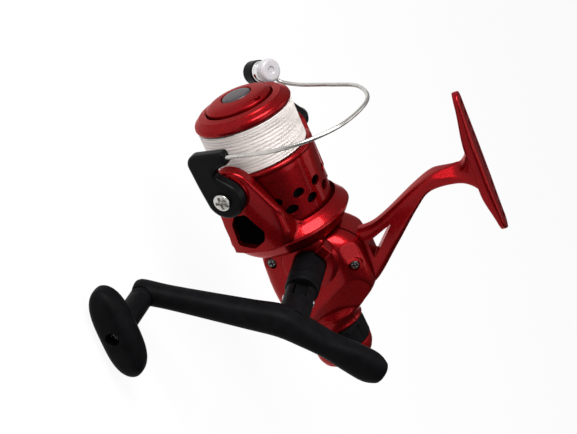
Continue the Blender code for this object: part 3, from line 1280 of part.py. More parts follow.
def make_drag():
    """Rear drag: sleeve on the shaft, washers in the tail, and the knob with its ring."""
    floor = CASE_REAR + DRAG_BORE_DEPTH
    sleeve_low = CASE_REAR - 2.4
    sleeve = ring(
        "drag_sleeve", SHAFT_R + SEAT, DRAG_SLEEVE_R, sleeve_low, floor + 3.0, on_axis(0), AXIS_X
    )
    finish(sleeve, BRASS)
    inner, outer = DRAG_SLEEVE_R + SEAT, DRAG_BORE_R - SEAT
    high = floor - SEAT
    for name, look in (("drag_washer_felt", FELT), ("drag_washer_steel", STEEL), ("drag_washer_rear", FELT)):
        finish(ring(name, inner, outer, high - WASHER_THICK, high, on_axis(0), AXIS_X), look)
        high -= WASHER_THICK + SEAT
    spring = [
        (inner, high),
        (outer - 1.5, high - 0.8),
        (outer - 1.5, high - 1.5),
        (inner, high - 0.7),
    ]
    finish(turned("drag_spring_washer", spring, on_axis(0), AXIS_X), STEEL)
    high -= 1.5 + SEAT
    front = CASE_REAR - RUN
    knob_rear = front - DRAG_KNOB_LENGTH
    end = knob_rear - DRAG_RING_LENGTH
    well = DRAG_SLEEVE_R + RUN
    knob = [
        (well, high),
        (DRAG_BORE_R - 2.0, high),
        (DRAG_BORE_R - 2.0, front),
        (TAIL_R - 1.2, front),
        (DRAG_KNOB_R, front - 3.0),
        (DRAG_KNOB_R + 0.3, knob_rear),
        (DRAG_END_R, knob_rear),
        (DRAG_END_R, end - 1.2),
        (DRAG_END_R - 2.0, end - 2.0),
        (0, end - 2.0),
        (0, front - DRAG_KNOB_LENGTH * 0.7),
        (well, front - DRAG_KNOB_LENGTH * 0.7),
    ]
    finish(turned("drag_knob", knob, on_axis(0), AXIS_X), BLACK_PLASTIC)
    band = [
        (DRAG_END_R + SEAT, knob_rear - SEAT),
        (DRAG_KNOB_R + 0.2, knob_rear - SEAT),
        (DRAG_KNOB_R, knob_rear - 4.0),
        (DRAG_KNOB_R - 1.4, end),
        (DRAG_END_R + SEAT, end),
    ]
    finish(turned("drag_knob_ring", band, on_axis(0), AXIS_X), RED_PAINT)


def switch_place():
    return reel(CASE_FRONT - SWITCH_BACK, -4.0, 0)


def make_switch():
    """Anti-reverse lever under the case, on a short stem through its wall."""
    place = switch_place()
    low = -CASE_LOW - 0.8
    outline = [*arc((0, 0), SWITCH_R, 45, 315, 10), (SWITCH_LENGTH, -1.6), (SWITCH_LENGTH, 1.6)]
    middle = place + AXIS_Z * ((low - 1.0) * MM)
    lever = plate("anti_reverse_lever", outline, 2.0, axes(middle, -AXIS_X, -AXIS_Y))
    stem = rod("switch_stem", 1.6, low - 0.5, -CASE_LOW + CASE_WALL + 1.5, place, AXIS_Z, 12)
    join(lever, stem)
    finish(lever, BLACK_PLASTIC)


clear_scene()
PIECES, SHAPES = make_collections()
make_spool()
make_line()
make_main_shaft()
make_rotor()
make_bail_spring()
make_bail()
make_pinion()
make_case()
make_handle_train()
make_slider()
make_handle()
make_drag()
make_switch()
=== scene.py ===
"""Looks of a rear-drag spinning reel: lacquered castings, moulded grips, wound line and wire bail.

Shapes are worked out in reel millimetres: x forward along the spool's axis from the rear edge
of the spool's lip, y to the handle side and z towards the foot.
"""

import math

import bmesh
import bpy
import numpy as np
from mathutils import Matrix, Vector


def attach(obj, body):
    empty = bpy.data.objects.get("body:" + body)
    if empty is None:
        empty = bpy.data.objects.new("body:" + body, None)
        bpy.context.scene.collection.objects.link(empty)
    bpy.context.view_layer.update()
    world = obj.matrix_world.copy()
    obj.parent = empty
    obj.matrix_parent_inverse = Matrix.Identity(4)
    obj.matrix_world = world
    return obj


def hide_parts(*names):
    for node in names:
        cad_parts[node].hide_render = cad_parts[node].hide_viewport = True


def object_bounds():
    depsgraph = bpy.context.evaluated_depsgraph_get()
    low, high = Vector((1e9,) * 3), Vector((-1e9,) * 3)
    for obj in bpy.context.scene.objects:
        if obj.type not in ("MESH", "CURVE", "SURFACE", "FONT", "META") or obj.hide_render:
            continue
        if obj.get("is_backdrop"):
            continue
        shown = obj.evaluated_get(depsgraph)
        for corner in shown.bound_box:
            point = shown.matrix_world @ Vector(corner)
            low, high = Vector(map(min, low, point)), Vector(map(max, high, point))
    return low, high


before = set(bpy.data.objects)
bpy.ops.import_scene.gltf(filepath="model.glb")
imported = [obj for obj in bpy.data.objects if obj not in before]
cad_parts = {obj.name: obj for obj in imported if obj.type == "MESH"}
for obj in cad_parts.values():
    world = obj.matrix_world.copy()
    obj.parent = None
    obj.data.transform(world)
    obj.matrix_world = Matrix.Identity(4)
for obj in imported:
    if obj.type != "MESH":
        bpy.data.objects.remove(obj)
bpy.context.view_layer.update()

bl_info = {
    "name": "Spinning Reel",
    "version": (1, 0, 0),
    "blender": (4, 5, 0),
    "location": "View3D > Sidebar > Reel",
    "description": "Builds the finished surfaces of a rear-drag spinning reel around its solids",
    "category": "Add Mesh",
}

# A millimetre in metres, a full turn, the origin's place in reel millimetres and the three directions
MM = 0.001
TAU = math.tau
FOOT_CENTRE = np.array((-49.5, 0.0, 85.7))
X_SIDE = np.array((1.0, 0.0, 0.0))
Y_SIDE = np.array((0.0, 1.0, 0.0))
Z_SIDE = np.array((0.0, 0.0, 1.0))

# Bail: direction of its pivots and the one square to it, the line roller's axis and place, the pivots' x
ARM_ANGLE = math.radians(-17.0)
BAIL_AXIS = np.array((0.0, math.cos(ARM_ANGLE), math.sin(ARM_ANGLE)))
BAIL_SIDE = np.array((0.0, -math.sin(ARM_ANGLE), math.cos(ARM_ANGLE)))
ROLLER_TURN = math.radians(52.4)
ROLLER_AXIS = np.array((0.093, math.cos(ROLLER_TURN), math.sin(ROLLER_TURN)))
ROLLER_AXIS = ROLLER_AXIS / np.linalg.norm(ROLLER_AXIS)
ROLLER_PLACE = np.array((2.6, 0, 0)) - 35.2 * BAIL_AXIS - 13.48 * BAIL_SIDE
PIVOT = np.array((-21.0, 0.0, 0.0))

# Handle: the crank's place, directions of arm and paddle, the fold's side, heights above the seam,
# reaches from the crank, and the knob's axis and where it starts
CRANK = np.array((-66.0, 0.0, 6.0))
ARM_DIRECTION = math.radians(-60.0)
PADDLE_DIRECTION = math.radians(139.4)
ARM_AXIS = np.array((math.cos(ARM_DIRECTION), 0.0, math.sin(ARM_DIRECTION)))
FOLD_SIDE = np.cross(ARM_AXIS, Y_SIDE)
ARM_Y = 64.1
FOLD_Y = 46.1
ARM_REACH = 58.6
PADDLE_REACH = 41.6
POST_CANT = math.radians(5.3)
KNOB_AXIS = Y_SIDE * math.cos(POST_CANT) + ARM_AXIS * math.sin(POST_CANT)
KNOB_END = CRANK + ARM_AXIS * ARM_REACH + Y_SIDE * ARM_Y

# Fold joint of the handle
FOLD_PLACE = CRANK + Y_SIDE * FOLD_Y

# Gear case: its ends, edge radius, groove at the rear ring, bore for the drag, the seam with half its
# gap, and the cover's screws as (x, z, seat)
CASE_FRONT = -57.8
CASE_REAR = -102.8
CASE_EDGE = 0.8
CASE_GROOVE = -96.8
DRAG_BORE = -91.3
DRAG_BORE_RADIUS = 10.4
SEAM_Y = 6.0
SEAM_GAP = 0.3
COVER_SCREWS = ((-73.6, 22.4, 11.6), (-62.4, -10.2, 12.4))

# Turned steps and the angle above which an edge stays sharp
STEPS = 128
SHARP = math.radians(40)

# Finishes by name, filled by make_finishes
LOOKS = {}

# Spool: holes in each row of the skirt, the rows' places, and the notch in the front's slope
HOLES_ROUND = 13
HOLES_START = math.radians(12.5)
HOLE_ROWS = (-34.0, -39.2)
NOTCH_TURN = math.radians(54)
NOTCH_RADIUS = 12.9
NOTCH_HALVES = (0.75, 1.5)

# Rotor: distance round per radian, the cup's rim, edge radius, inner radius and its step at the arms
ROTOR_ROUND = 27.0
CUP_RIM = -45.0
ROTOR_EDGE = 1.5
CUP_INSIDE = 22.3
ARM_STEP = 2.1

# Each half of the rotor, near then far: the arm's half width, its two feet and their corner
ROTOR_HALVES = ((9.7, 10.6, 20.5, 4), (6.4, 6.4, 11.5, 4))

# Heights at which the cup's outer radius is given, and those of its rows under the arms
CUP_HEIGHTS = (
    -57.2, -56.6, -55.8, -55, -54.2, -53.3, -52.4, -51.5, -50.7, -49.7, -48.6, -47.6, -46.6, -45,
)
CUP_ROWS = (
    -57.2, -56.6, -55.8, -55, -54.2, -53.3, -52.4, -51.5, -50.7, -50.2,
    -49.9, -49.6, -49.3, -49, -48.7, -48.4, -48, -47.5, -47,
)

# Pocket in the near arm, the levers' middle, and where the wire starts and what it goes round
RECESS = (
    (-31.0, -2.4, 1.2),
    (-31.0, 3.0, 1.2),
    (-40.2, 7.9, 1.2),
    (-44.2, 6.4, 1.2),
    (-46.8, 1.0, 1.2),
    (-44.6, -6.6, 1.2),
    (-35.0, -5.6, 1.2),
)
LEVER_MIDDLE = 33.8
WIRE_START = -3.4 * X_SIDE + LEVER_MIDDLE * BAIL_AXIS + 9.0 * BAIL_SIDE
WIRE_CENTRE = np.array((-30.0, 0.0, 15.0))

# Columns of each skin of the gear case, and its sections: share, low, top, half width and squareness
CASE_COLUMNS = 97
CASE_STATIONS = (
    (0.0, 16.2, 20.6, 15.2, 2.6),
    (0.093, 16.4, 25.0, 15.9, 3.0),
    (0.185, 16.6, 26.9, 16.4, 3.3),
    (0.417, 17.0, 27.2, 16.4, 3.4),
    (0.649, 16.6, 25.8, 16.0, 3.0),
    (0.797, 15.6, 19.2, 15.0, 2.5),
    (0.92, 13.2, 13.2, 13.2, 2.0),
    (1.0, 13.0, 13.0, 13.0, 2.0),
)

# Flat faces pressed on the case: a point, the direction that each faces, and the x where it ends
CASE_FACETS = (
    ((-70.0, 16.1, 5.0), (0.0, 1.0, 0.0), CASE_REAR),
    ((-64.0, 10.7, 24.4), (0.10, 0.77, 0.62), -70.6),
    ((-79.9, 15.3, 17.0), (-0.45, 0.855, 0.249), -94.8),
)
FACET_EDGE = 0.12
FACET_FADE = 1.6

# The stem's flat face, the x and z where it ends and the distances over which it fades
STEM_FACET = ((-48.3, 4.6, 63.5), (0.72, 0.66, 0.17))
STEM_FACET_END = (-43.6, 81.0)
STEM_FACET_FADE = (3.0, 7.0)

# Rows and columns of the stem, half the foot's length, the anti-reverse lever's place and the pawl's post
STEM_GRID = 72
FOOT_HALF = 31.5
SWITCH_PLACE = np.array((-77.8, -4.0, -18.8))
PAWL_REACH = 13.6
PAWL_TURN = math.radians(-60)

# Solids that stay as they are, by finish
INSIDE = {
    "brass": ("handle_bush", "frame_bush", "rotor_nut", "pinion_gear", "drag_sleeve"),
    "alloy": ("drive_gear", "ratchet_wheel", "oscillation_gear", "anti_reverse_pawl"),
    "steel": (
        "pinion_bearing",
        "guide_rod",
        "drag_spring_washer",
        "handle_shaft",
        "main_shaft",
        "button_spring",
        "drag_washer_steel",
    ),
    "felt": ("drag_washer_felt", "drag_washer_rear"),
    "button": ("oscillation_slider",),
}

# Camera: focal length and image width in pixels, and the sensor's width; rows of the axes point
# right, up and back, and place is the axes' origin as the camera sees it
FOCAL_PIXELS = 1600
IMAGE_WIDTH = 577
SENSOR_WIDTH = 36.0
CAMERA_AXES = np.array(
    (
        (-0.369485228, -0.164252938, 0.914604635),
        (0.846691777, -0.465053466, 0.25853106),
        (0.382875569, 0.869911631, 0.310901998),
    )
)
CAMERA_PLACE = np.array((-18.3537, 42.5745, -650.7627))

# Lamps: direction from the reel's middle, size and power, and their distance
LAMPS = (
    ("key", (0.80, 0.26, 0.52), 0.5, 8.5),
    ("fill", (0.0, 0.42, 0.85), 0.6, 1.8),
    ("rim", (-0.2, -0.3, 0.95), 0.6, 1.2),
)
REEL_MIDDLE = (-50.0, 0.0, 10.0)
LAMP_DISTANCE = 0.8

# Sky: bright side, low and high tints; floor: half its length, the gap below the reel and its white share
SKY_TOWARDS = (0.85, -0.15, 0.30)
SKY_LOW = (0.08, 0.08, 0.084)
SKY_HIGH = (0.55, 0.55, 0.55)
FLOOR_REACH = 8.0
FLOOR_GAP = 0.001
FLOOR_WHITE = 0.93


def length(name, description, millimetres):
    """A length that a user may change, kept in metres."""
    return bpy.props.FloatProperty(
        name=name,
        description=description,
        default=millimetres * MM,
        min=0.0,
        unit="LENGTH",
        subtype="DISTANCE",
        precision=5,
    )


def colour(name, description, red, green, blue):
    """A linear colour that a user may change."""
    return bpy.props.FloatVectorProperty(
        name=name,
        description=description,
        default=(red, green, blue),
        min=0.0,
        max=1.0,
        size=3,
        subtype="COLOR",
    )


class ReelSizes(bpy.types.PropertyGroup):
    """Sizes of the reel's finished surfaces."""

    lip_radius: length("Lip radius", "Widest radius of the spool's front lip", 21.0)
    skirt_radius: length("Skirt radius", "Radius of the spool's skirt at its front", 22.2)
    skirt_rear: length("Skirt rear radius", "Radius of the spool's skirt at its rear edge", 20.9)
    hole_across: length("Skirt hole width", "Width of a skirt hole round the skirt", 5.4)
    hole_along: length("Skirt hole length", "Length of a skirt hole along the axis", 3.6)
    button_radius: length("Button radius", "Radius of the spool's push button", 6.3)
    line_radius: length("Line radius", "Outer radius of the wound line", 20.55)
    line_thickness: length("Line thickness", "Diameter of the line", 0.3)
    cup_radius: length("Cup radius", "Widest radius of the rotor's cup", 26.7)
    arm_radius: length("Arm radius", "Outer radius of the rotor's arms", 30.6)
    wire_radius: length("Wire radius", "Radius of the bail's wire", 0.85)
    lever_thickness: length("Lever thickness", "Thickness of the bail's levers", 4.6)
    roller_radius: length("Roller radius", "Radius of the line roller's rims", 4.6)
    case_wall: length("Case wall", "Wall of the gear case", 1.8)
    stem_thickness: length("Stem thickness", "Thickness of the stem above the case", 10.0)
    foot_width: length("Foot width", "Width of the foot at its middle", 13.0)
    collar_radius: length("Collar radius", "Radius of the handle's collar", 7.0)
    hub_radius: length("Hub radius", "Radius of the folding hub", 6.2)
    post_radius: length("Post radius", "Radius of the knob's post", 4.7)
    knob_length: length("Knob length", "Length of the handle's knob", 38.0)
    knob_width: length("Knob width", "Width and depth of the handle's knob", 14.0)
    drag_radius: length("Drag knob radius", "Radius of the drag knob", 12.5)


class ReelColours(bpy.types.PropertyGroup):
    """Colours of the reel's finishes."""

    lacquer: colour("Lacquer", "Metallic red of the castings", 0.28, 0.0045, 0.007)
    lacquer_deep: colour("Deep lacquer", "Darker red between the flakes", 0.125, 0.0012, 0.0026)
    moulding: colour("Moulding", "Black of the moulded pieces", 0.0022, 0.0022, 0.0026)
    moulding_worn: colour("Worn moulding", "Greyer black where hands polish it", 0.0040, 0.0040, 0.0046)
    button: colour("Button", "Grey of the push button", 0.033, 0.025, 0.028)
    steel: colour("Steel", "Stainless wire and screws", 0.60, 0.58, 0.55)
    roller: colour("Roller", "Bright line roller", 0.82, 0.82, 0.83)
    cap: colour("Roller cap", "Pale cap of the line roller", 0.40, 0.385, 0.40)
    line: colour("Line", "Pale nylon line", 0.78, 0.72, 0.69)
    line_shade: colour("Line shade", "Shaded bands of the wound line", 0.52, 0.475, 0.45)
    brass: colour("Brass", "Turned brass of bushes and nut", 0.55, 0.38, 0.14)
    alloy: colour("Alloy", "Cast gears", 0.42, 0.42, 0.44)
    felt: colour("Felt", "Drag washers", 0.30, 0.27, 0.22)
    floor: colour("Floor", "Pale floor", 0.90, 0.90, 0.90)


def grid_faces(rows, cols, wrap_rows=False, wrap_cols=True):
    """Quads of a grid numbered row by row; a wrapped side joins its last line to its first."""
    i = np.arange(rows if wrap_rows else rows - 1)[:, None]
    j = np.arange(cols if wrap_cols else cols - 1)[None, :]
    down, right = (i + 1) % rows, (j + 1) % cols
    corners = np.broadcast_arrays(i * cols + j, i * cols + right, down * cols + right, down * cols + j)
    return np.stack(corners, -1).reshape(-1, 4)


def surface(points, wrap_rows=False, wrap_cols=True, capped=False):
    """A grid of points as (points, faces); capped closes the first and last rows with flat faces."""
    rows, cols = points.shape[:2]
    faces = grid_faces(rows, cols, wrap_rows, wrap_cols).tolist()
    if capped:
        faces += [list(range(cols))[::-1], list(range((rows - 1) * cols, rows * cols))]
    return points.reshape(-1, 3), faces


def gather(*shapes):
    """Several shapes as one, faces renumbered after the points before them."""
    starts = np.cumsum([0] + [len(points) for points, _ in shapes])
    faces = []
    for start, (_, own) in zip(starts.tolist(), shapes):
        faces += [[int(k) + start for k in face] for face in own]
    return np.concatenate([points for points, _ in shapes]), faces


def unit(vector):
    """A vector, or a grid of vectors, brought to length 1."""
    return vector / np.linalg.norm(vector, axis=-1, keepdims=True)


def across(along):
    """Two directions square to an axis; for the spool's axis they are y and z."""
    helper = Y_SIDE if abs(along[1]) < 0.9 else Z_SIDE
    first = unit(helper - along * np.dot(helper, along))
    return first, np.cross(along, first)


def around(turn):
    """The direction out from the spool's axis at an angle, and the one round it."""
    c, s = math.cos(turn), math.sin(turn)
    return np.array((0.0, c, s)), np.array((0.0, -s, c))


def step(value):
    """Smooth step: 0 below 0, 1 above 1, and 3v^2 - 2v^3 between."""
    v = np.clip(value, 0, 1)
    return v * v * (3 - 2 * v)


def rounded(points, per_corner=6, closed=True):
    """Each corner (a, b, radius) becomes a quadratic curve that starts and ends that far from it."""
    p = np.array([(*q, 0.0) if len(q) == 2 else q for q in points], float)
    corner, radius = p[:, :2], p[:, 2]
    to_last, to_next = np.roll(corner, 1, 0) - corner, np.roll(corner, -1, 0) - corner
    spans = [np.linalg.norm(side, axis=1) for side in (to_last, to_next)]
    pull = np.minimum(radius, 0.48 * np.minimum(*spans))
    if not closed:
        pull[[0, -1]] = 0
    a = corner + to_last * (pull / np.maximum(spans[0], 1e-9))[:, None]
    b = corner + to_next * (pull / np.maximum(spans[1], 1e-9))[:, None]
    t = np.linspace(0, 1, per_corner)[None, :, None]
    curve = (1 - t) ** 2 * a[:, None] + 2 * t * (1 - t) * corner[:, None] + t**2 * b[:, None]
    curve = curve.reshape(-1, 2)
    keep = np.r_[True, np.linalg.norm(np.diff(curve, axis=0), axis=1) > 1e-6]
    return curve[keep]


def resample(points, count, closed=True):
    """Points at even distances along a line."""
    line = np.vstack([points, points[:1]]) if closed else np.asarray(points)
    run = np.r_[0, np.cumsum(np.linalg.norm(np.diff(line, axis=0), axis=1))]
    at = np.linspace(0, run[-1], count, endpoint=not closed)
    return np.stack([np.interp(at, run, line[:, k]) for k in range(line.shape[1])], 1)


def arc(centre, radius, start, end, count):
    """Points on an arc, angles in degrees."""
    turn = np.radians(np.linspace(start, end, count))
    return [(centre[0] + radius * c, centre[1] + radius * s) for c, s in zip(np.cos(turn), np.sin(turn))]


def smooth(points, per_span):
    """A curve through every point, each span a cubic of its four neighbours."""
    p = np.array([points[0], *points, points[-1]], float)
    t = np.linspace(0, 1, per_span, endpoint=False)[None, :, None]
    a, b, c, d = p[:-3, None], p[1:-2, None], p[2:-1, None], p[3:, None]
    square, cube = 2 * a - 5 * b + 4 * c - d, 3 * b - a - 3 * c + d
    spans = 0.5 * (2 * b + (c - a) * t + square * t**2 + cube * t**3)
    return np.concatenate([spans.reshape(-1, p.shape[1]), p[-1:]])


def squared_off(wave, power):
    """A cosine or sine bent to a superellipse's: sign(w) |w|^(2/p)."""
    return np.sign(wave) * np.abs(wave) ** (2 / power)


def oval(half_a, half_b, power, count):
    """Superellipse |a|^p + |b|^p = 1, scaled to two half sizes."""
    turn = np.arange(count) * TAU / count
    a, b = squared_off(np.cos(turn), power), squared_off(np.sin(turn), power)
    return np.stack([half_a * a, half_b * b], 1)


def lathe(profile, place=(0, 0, 0), along=X_SIDE, steps=STEPS, per_corner=6, flutes=None):
    """Turns a closed profile of (radius, height, corner radius) points round an axis.

    A point is place + height * along + radius * (cos t * first + sin t * second); flutes scales
    the radius by a function of (t, height).
    """
    p = rounded(profile, per_corner)
    t = np.arange(steps) * TAU / steps
    first, second = across(np.asarray(along, float))
    radius = np.repeat(p[:, :1], steps, 1)
    if flutes is not None:
        radius = radius * flutes(t[None, :], p[:, 1:2])
    out = np.cos(t)[None, :, None] * first + np.sin(t)[None, :, None] * second
    points = np.asarray(place, float) + p[:, None, 1:2] * along + radius[:, :, None] * out
    return surface(points, wrap_rows=True)


def rod(radius, low, high, place, along, steps=64):
    """A plain round bar, used to cut."""
    return lathe([(0, low), (0, high), (radius, high), (radius, low)], place, along, steps)


def slab(outline, low, high, place, first, second, edge=(0.0, 0.0), count=200):
    """An outline carried from one height to another, its rims rounded by two edge radii.

    At quarter turn a the rim is drawn in by edge * (1 - sin a) and raised by edge * (1 - cos a); a
    last row, drawn in by 0.3 more, carries the flat end.
    """
    flat = resample(np.asarray(outline, float), count)
    ahead = unit(np.roll(flat, -1, 0) - np.roll(flat, 1, 0))
    inward = np.stack([-ahead[:, 1], ahead[:, 0]], 1)
    x, y = flat[:, 0], flat[:, 1]
    if np.sum(x * np.roll(y, -1) - np.roll(x, -1) * y) < 0:
        inward = -inward
    turn = np.linspace(0, math.pi / 2, 6)
    drawn, raised = 1 - np.sin(turn), 1 - np.cos(turn)
    inset = np.r_[edge[0] + 0.3, edge[0] * drawn, edge[1] * drawn[::-1], edge[1] + 0.3]
    height = np.r_[low, low + edge[0] * raised, high - edge[1] * raised[::-1], high]
    up = np.cross(first, second)
    ring = flat[None] + inward[None] * inset[:, None, None]
    points = np.asarray(place, float) + ring[..., :1] * first + ring[..., 1:] * second
    points = points + height[:, None, None] * up
    return surface(points, capped=True)


def tube(path, radius, sides, square):
    """A circle carried along a path, its plane set by a direction that the path never follows."""
    path = np.asarray(path, float)
    ahead = unit(np.gradient(path, axis=0))
    first = unit(np.cross(ahead, square))
    second = np.cross(ahead, first)
    t = np.arange(sides) * TAU / sides
    ring = np.cos(t)[None, :, None] * first[:, None] + np.sin(t)[None, :, None] * second[:, None]
    return surface(path[:, None] + radius * ring, capped=True)


def put(name, data):
    """Links a new object to the scene."""
    obj = bpy.data.objects.new(name, data)
    bpy.context.scene.collection.objects.link(obj)
    return obj


def build(name, shape, weld=True):
    """A mesh object at the origin from a shape in reel millimetres, faces turned outwards."""
    points, faces = shape
    mesh = bpy.data.meshes.new(name)
    mesh.from_pydata(((points - FOOT_CENTRE) * MM).tolist(), [], faces)
    solid = bmesh.new()
    solid.from_mesh(mesh)
    if weld:
        bmesh.ops.remove_doubles(solid, verts=solid.verts, dist=2e-6)
        bmesh.ops.dissolve_degenerate(solid, edges=solid.edges, dist=1e-8)
        bmesh.ops.delete(solid, geom=[edge for edge in solid.edges if not edge.link_faces], context="EDGES")
    bmesh.ops.triangulate(solid, faces=[face for face in solid.faces if len(face.verts) > 4])
    bmesh.ops.recalc_face_normals(solid, faces=solid.faces)
    solid.to_mesh(mesh)
    solid.free()
    return put(name, mesh)


def settle(obj):
    """Makes an object's modifiers part of its mesh."""
    bpy.context.view_layer.update()
    graph = bpy.context.evaluated_depsgraph_get()
    mesh = bpy.data.meshes.new_from_object(obj.evaluated_get(graph))
    obj.modifiers.clear()
    old, obj.data = obj.data, mesh
    bpy.data.meshes.remove(old)
    return obj


def taken_shape(obj):
    """A piece's mesh as a shape in reel millimetres, the piece itself removed."""
    points = np.empty(3 * len(obj.data.vertices), np.float32)
    obj.data.vertices.foreach_get("co", points)
    faces = [list(face.vertices) for face in obj.data.polygons]
    bpy.data.objects.remove(obj, do_unlink=True)
    return points.reshape(-1, 3).astype(float) / MM + FOOT_CENTRE, faces


def combine(obj, operation, *shapes):
    """Joins shapes to a piece or cuts them from it."""
    for k, shape in enumerate(shapes):
        tool = build(f"{obj.name}_tool_{k}", shape)
        boolean = obj.modifiers.new(operation.lower(), "BOOLEAN")
        boolean.operation = operation
        boolean.solver = "EXACT"
        boolean.object = tool
        settle(obj)
        bpy.data.objects.remove(tool, do_unlink=True)
    return obj


def finish(obj, look, body, slot, *nodes, flat_faces=False):
    """Gives a piece its material, shading and body, and hides the solids it stands for; slot is not used."""
    obj.data.materials.clear()
    obj.data.materials.append(LOOKS[look])
    obj.data.shade_smooth()
    obj.data.set_sharp_from_angle(angle=SHARP)
    if flat_faces:
        weighted = obj.modifiers.new("flat_faces", "WEIGHTED_NORMAL")
        weighted.keep_sharp = True
        settle(obj)
    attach(obj, body)
    if nodes:
        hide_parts(*nodes)
    return obj


def node(tree, kind, inputs=None, **settings):
    """Adds a shader node, its settings by name and its inputs by name or number."""
    made = tree.nodes.new(kind)
    for key, value in settings.items():
        setattr(made, key, value)
    for key, value in (inputs or {}).items():
        if isinstance(value, bpy.types.NodeSocket):
            tree.links.new(value, made.inputs[key])
        else:
            made.inputs[key].default_value = value
    return made


def new_finish(name, **sockets):
    """A material with its shader's even values set on the shader's own sockets."""
    material = bpy.data.materials.new(name)
    material.use_nodes = True
    tree = material.node_tree
    shader = tree.nodes["Principled BSDF"]
    for key, value in sockets.items():
        shader.inputs[key.replace("_", " ").title().replace("Ior", "IOR")].default_value = value
    LOOKS[name] = material
    return tree, shader


def speckle(tree, scale, stretch=(1, 1, 1), detail=3.0):
    """Noise on the piece's own coordinates, drawn out along the axes by a stretch."""
    place = node(tree, "ShaderNodeTexCoord").outputs["Object"]
    drawn = node(tree, "ShaderNodeMapping", {"Vector": place, "Scale": stretch})
    noise = node(tree, "ShaderNodeTexNoise", {"Vector": drawn.outputs[0], "Scale": scale, "Detail": detail})
    return noise.outputs["Fac"]


def span(tree, value, low, high, start=0.3, end=0.7):
    """Carries a value from one range to another."""
    inputs = {"Value": value, "From Min": start, "From Max": end, "To Min": low, "To Max": high}
    return node(tree, "ShaderNodeMapRange", inputs).outputs[0]


def blend_colours(tree, factor, first, second):
    """Mixes two colours by a factor."""
    inputs = {0: factor, 6: (*first, 1), 7: (*second, 1)}
    return node(tree, "ShaderNodeMix", inputs, data_type="RGBA").outputs[2]


def raise_grain(tree, shader, height, strength, distance):
    """Raises a surface by a height, in metres of distance."""
    grain = node(tree, "ShaderNodeBump", {"Height": height, "Strength": strength, "Distance": distance})
    tree.links.new(grain.outputs[0], shader.inputs["Normal"])


def grained(name, first, second, scale, rough, relief, stretch=(1, 1, 1), **sockets):
    """A finish of two close colours by a broad noise, its gloss and relief by a fine one."""
    tree, shader = new_finish(name, **sockets)
    broad, fine = speckle(tree, scale / 12, stretch), speckle(tree, scale, stretch)
    tint = blend_colours(tree, span(tree, broad, 0, 1), first, second)
    tree.links.new(tint, shader.inputs["Base Color"])
    tree.links.new(span(tree, fine, *rough), shader.inputs["Roughness"])
    raise_grain(tree, shader, fine, relief, 0.00008)


def flaked_lacquer(name, colours, gloss):
    """Red lacquer: metal flakes as random cells under a clear coat, over slow waves of colour."""
    tree, shader = new_finish(
        name,
        metallic=0.88,
        specular_tint=(0.95, 0.10, 0.10, 1),
        coat_weight=gloss,
        coat_roughness=0.09,
        coat_ior=1.4,
    )
    place = node(tree, "ShaderNodeTexCoord").outputs["Object"]
    cells = node(tree, "ShaderNodeTexVoronoi", {"Vector": place, "Scale": 5200.0})
    flake = node(tree, "ShaderNodeSeparateColor", {"Color": cells.outputs["Color"]}).outputs[0]
    wave = speckle(tree, 55.0)
    shares = {0: span(tree, flake, 0.0, 0.65, 0.0, 1.0), 1: span(tree, wave, 0.0, 0.35)}
    both = node(tree, "ShaderNodeMath", shares).outputs[0]
    tint = blend_colours(tree, both, colours.lacquer_deep, colours.lacquer)
    tree.links.new(tint, shader.inputs["Base Color"])
    tree.links.new(span(tree, flake, 0.24, 0.40, 0.0, 1.0), shader.inputs["Roughness"])
    raise_grain(tree, shader, speckle(tree, 850.0, detail=1.0), 0.05, 0.0001)


def wound_nylon(name, colours):
    """Pale line with painted shade and sheen in slanting bands, read from an attribute kept on the piece."""
    tree, shader = new_finish(name)
    painted_shade = node(tree, "ShaderNodeAttribute", attribute_name="painted_shade").outputs["Fac"]
    fine = speckle(tree, 1500.0)
    # Painted shade and sheen: the bands plus a fine noise choose between the line's colour and its shade
    shade = node(tree, "ShaderNodeMath", {0: painted_shade, 1: span(tree, fine, -0.12, 0.12)}).outputs[0]
    tint = blend_colours(tree, shade, colours.line, colours.line_shade)
    tree.links.new(tint, shader.inputs["Base Color"])
    tree.links.new(span(tree, fine, 0.28, 0.42), shader.inputs["Roughness"])


def cross_screw(head, height, shank, depth, seat, place, along, steps=96):
    """A cross-head screw on a polar grid.

    The head's top at (r, t) is seat + height * (1 - 0.3 (r/head)^4), sunk where either bar of the
    cross covers (r cos t, r sin t); the rows then run down the side, under the head and the shank.
    """
    t = np.arange(steps) * TAU / steps
    r = np.linspace(0, 1, 26)[:, None] * head * 0.97
    u, v = r * np.cos(t), r * np.sin(t)
    wide, reach, soft = 0.17 * head, 0.74 * head, 0.05 * head
    bars = [step((wide - abs(a)) / soft) * step((reach - abs(b)) / soft) for a, b in ((u, v), (v, u))]
    top = seat + height * (1 - 0.3 * (r / head) ** 4) - 0.8 * height * np.maximum(*bars)
    side_r = np.array((head, head, head - 0.1, shank, shank, 0))[:, None]
    side_x = np.array((seat + height * 0.62, seat + 0.1, seat, seat, seat - depth, seat - depth))[:, None]
    radius = np.repeat(np.concatenate([r, side_r]), steps, 1)
    level = np.concatenate([top, np.repeat(side_x, steps, 1)])
    first, second = across(np.asarray(along, float))
    out = np.cos(t)[None, :, None] * first + np.sin(t)[None, :, None] * second
    return surface(np.asarray(place, float) + level[..., None] * along + radius[..., None] * out)


def skirt_hole(x, turn, radius, sizes):
    """Oval cutter square to the skirt: half sizes grow near the outer face, which leaves a soft rim."""
    heights = np.array((17.5, radius - 0.4, radius - 0.12, radius + 0.06, radius + 1.2))[:, None]
    grow = np.array((0, 0, 0.1, 0.34, 1.4))[:, None]
    a = np.arange(36) * TAU / 36
    along = x + (sizes.hole_along / MM / 2 + grow) * np.cos(a)
    round_it = (sizes.hole_across / MM / 2 + grow) * np.sin(a)
    out, side = around(turn)
    points = along[..., None] * X_SIDE + heights[..., None] * out + round_it[..., None] * side
    return surface(points, capped=True)


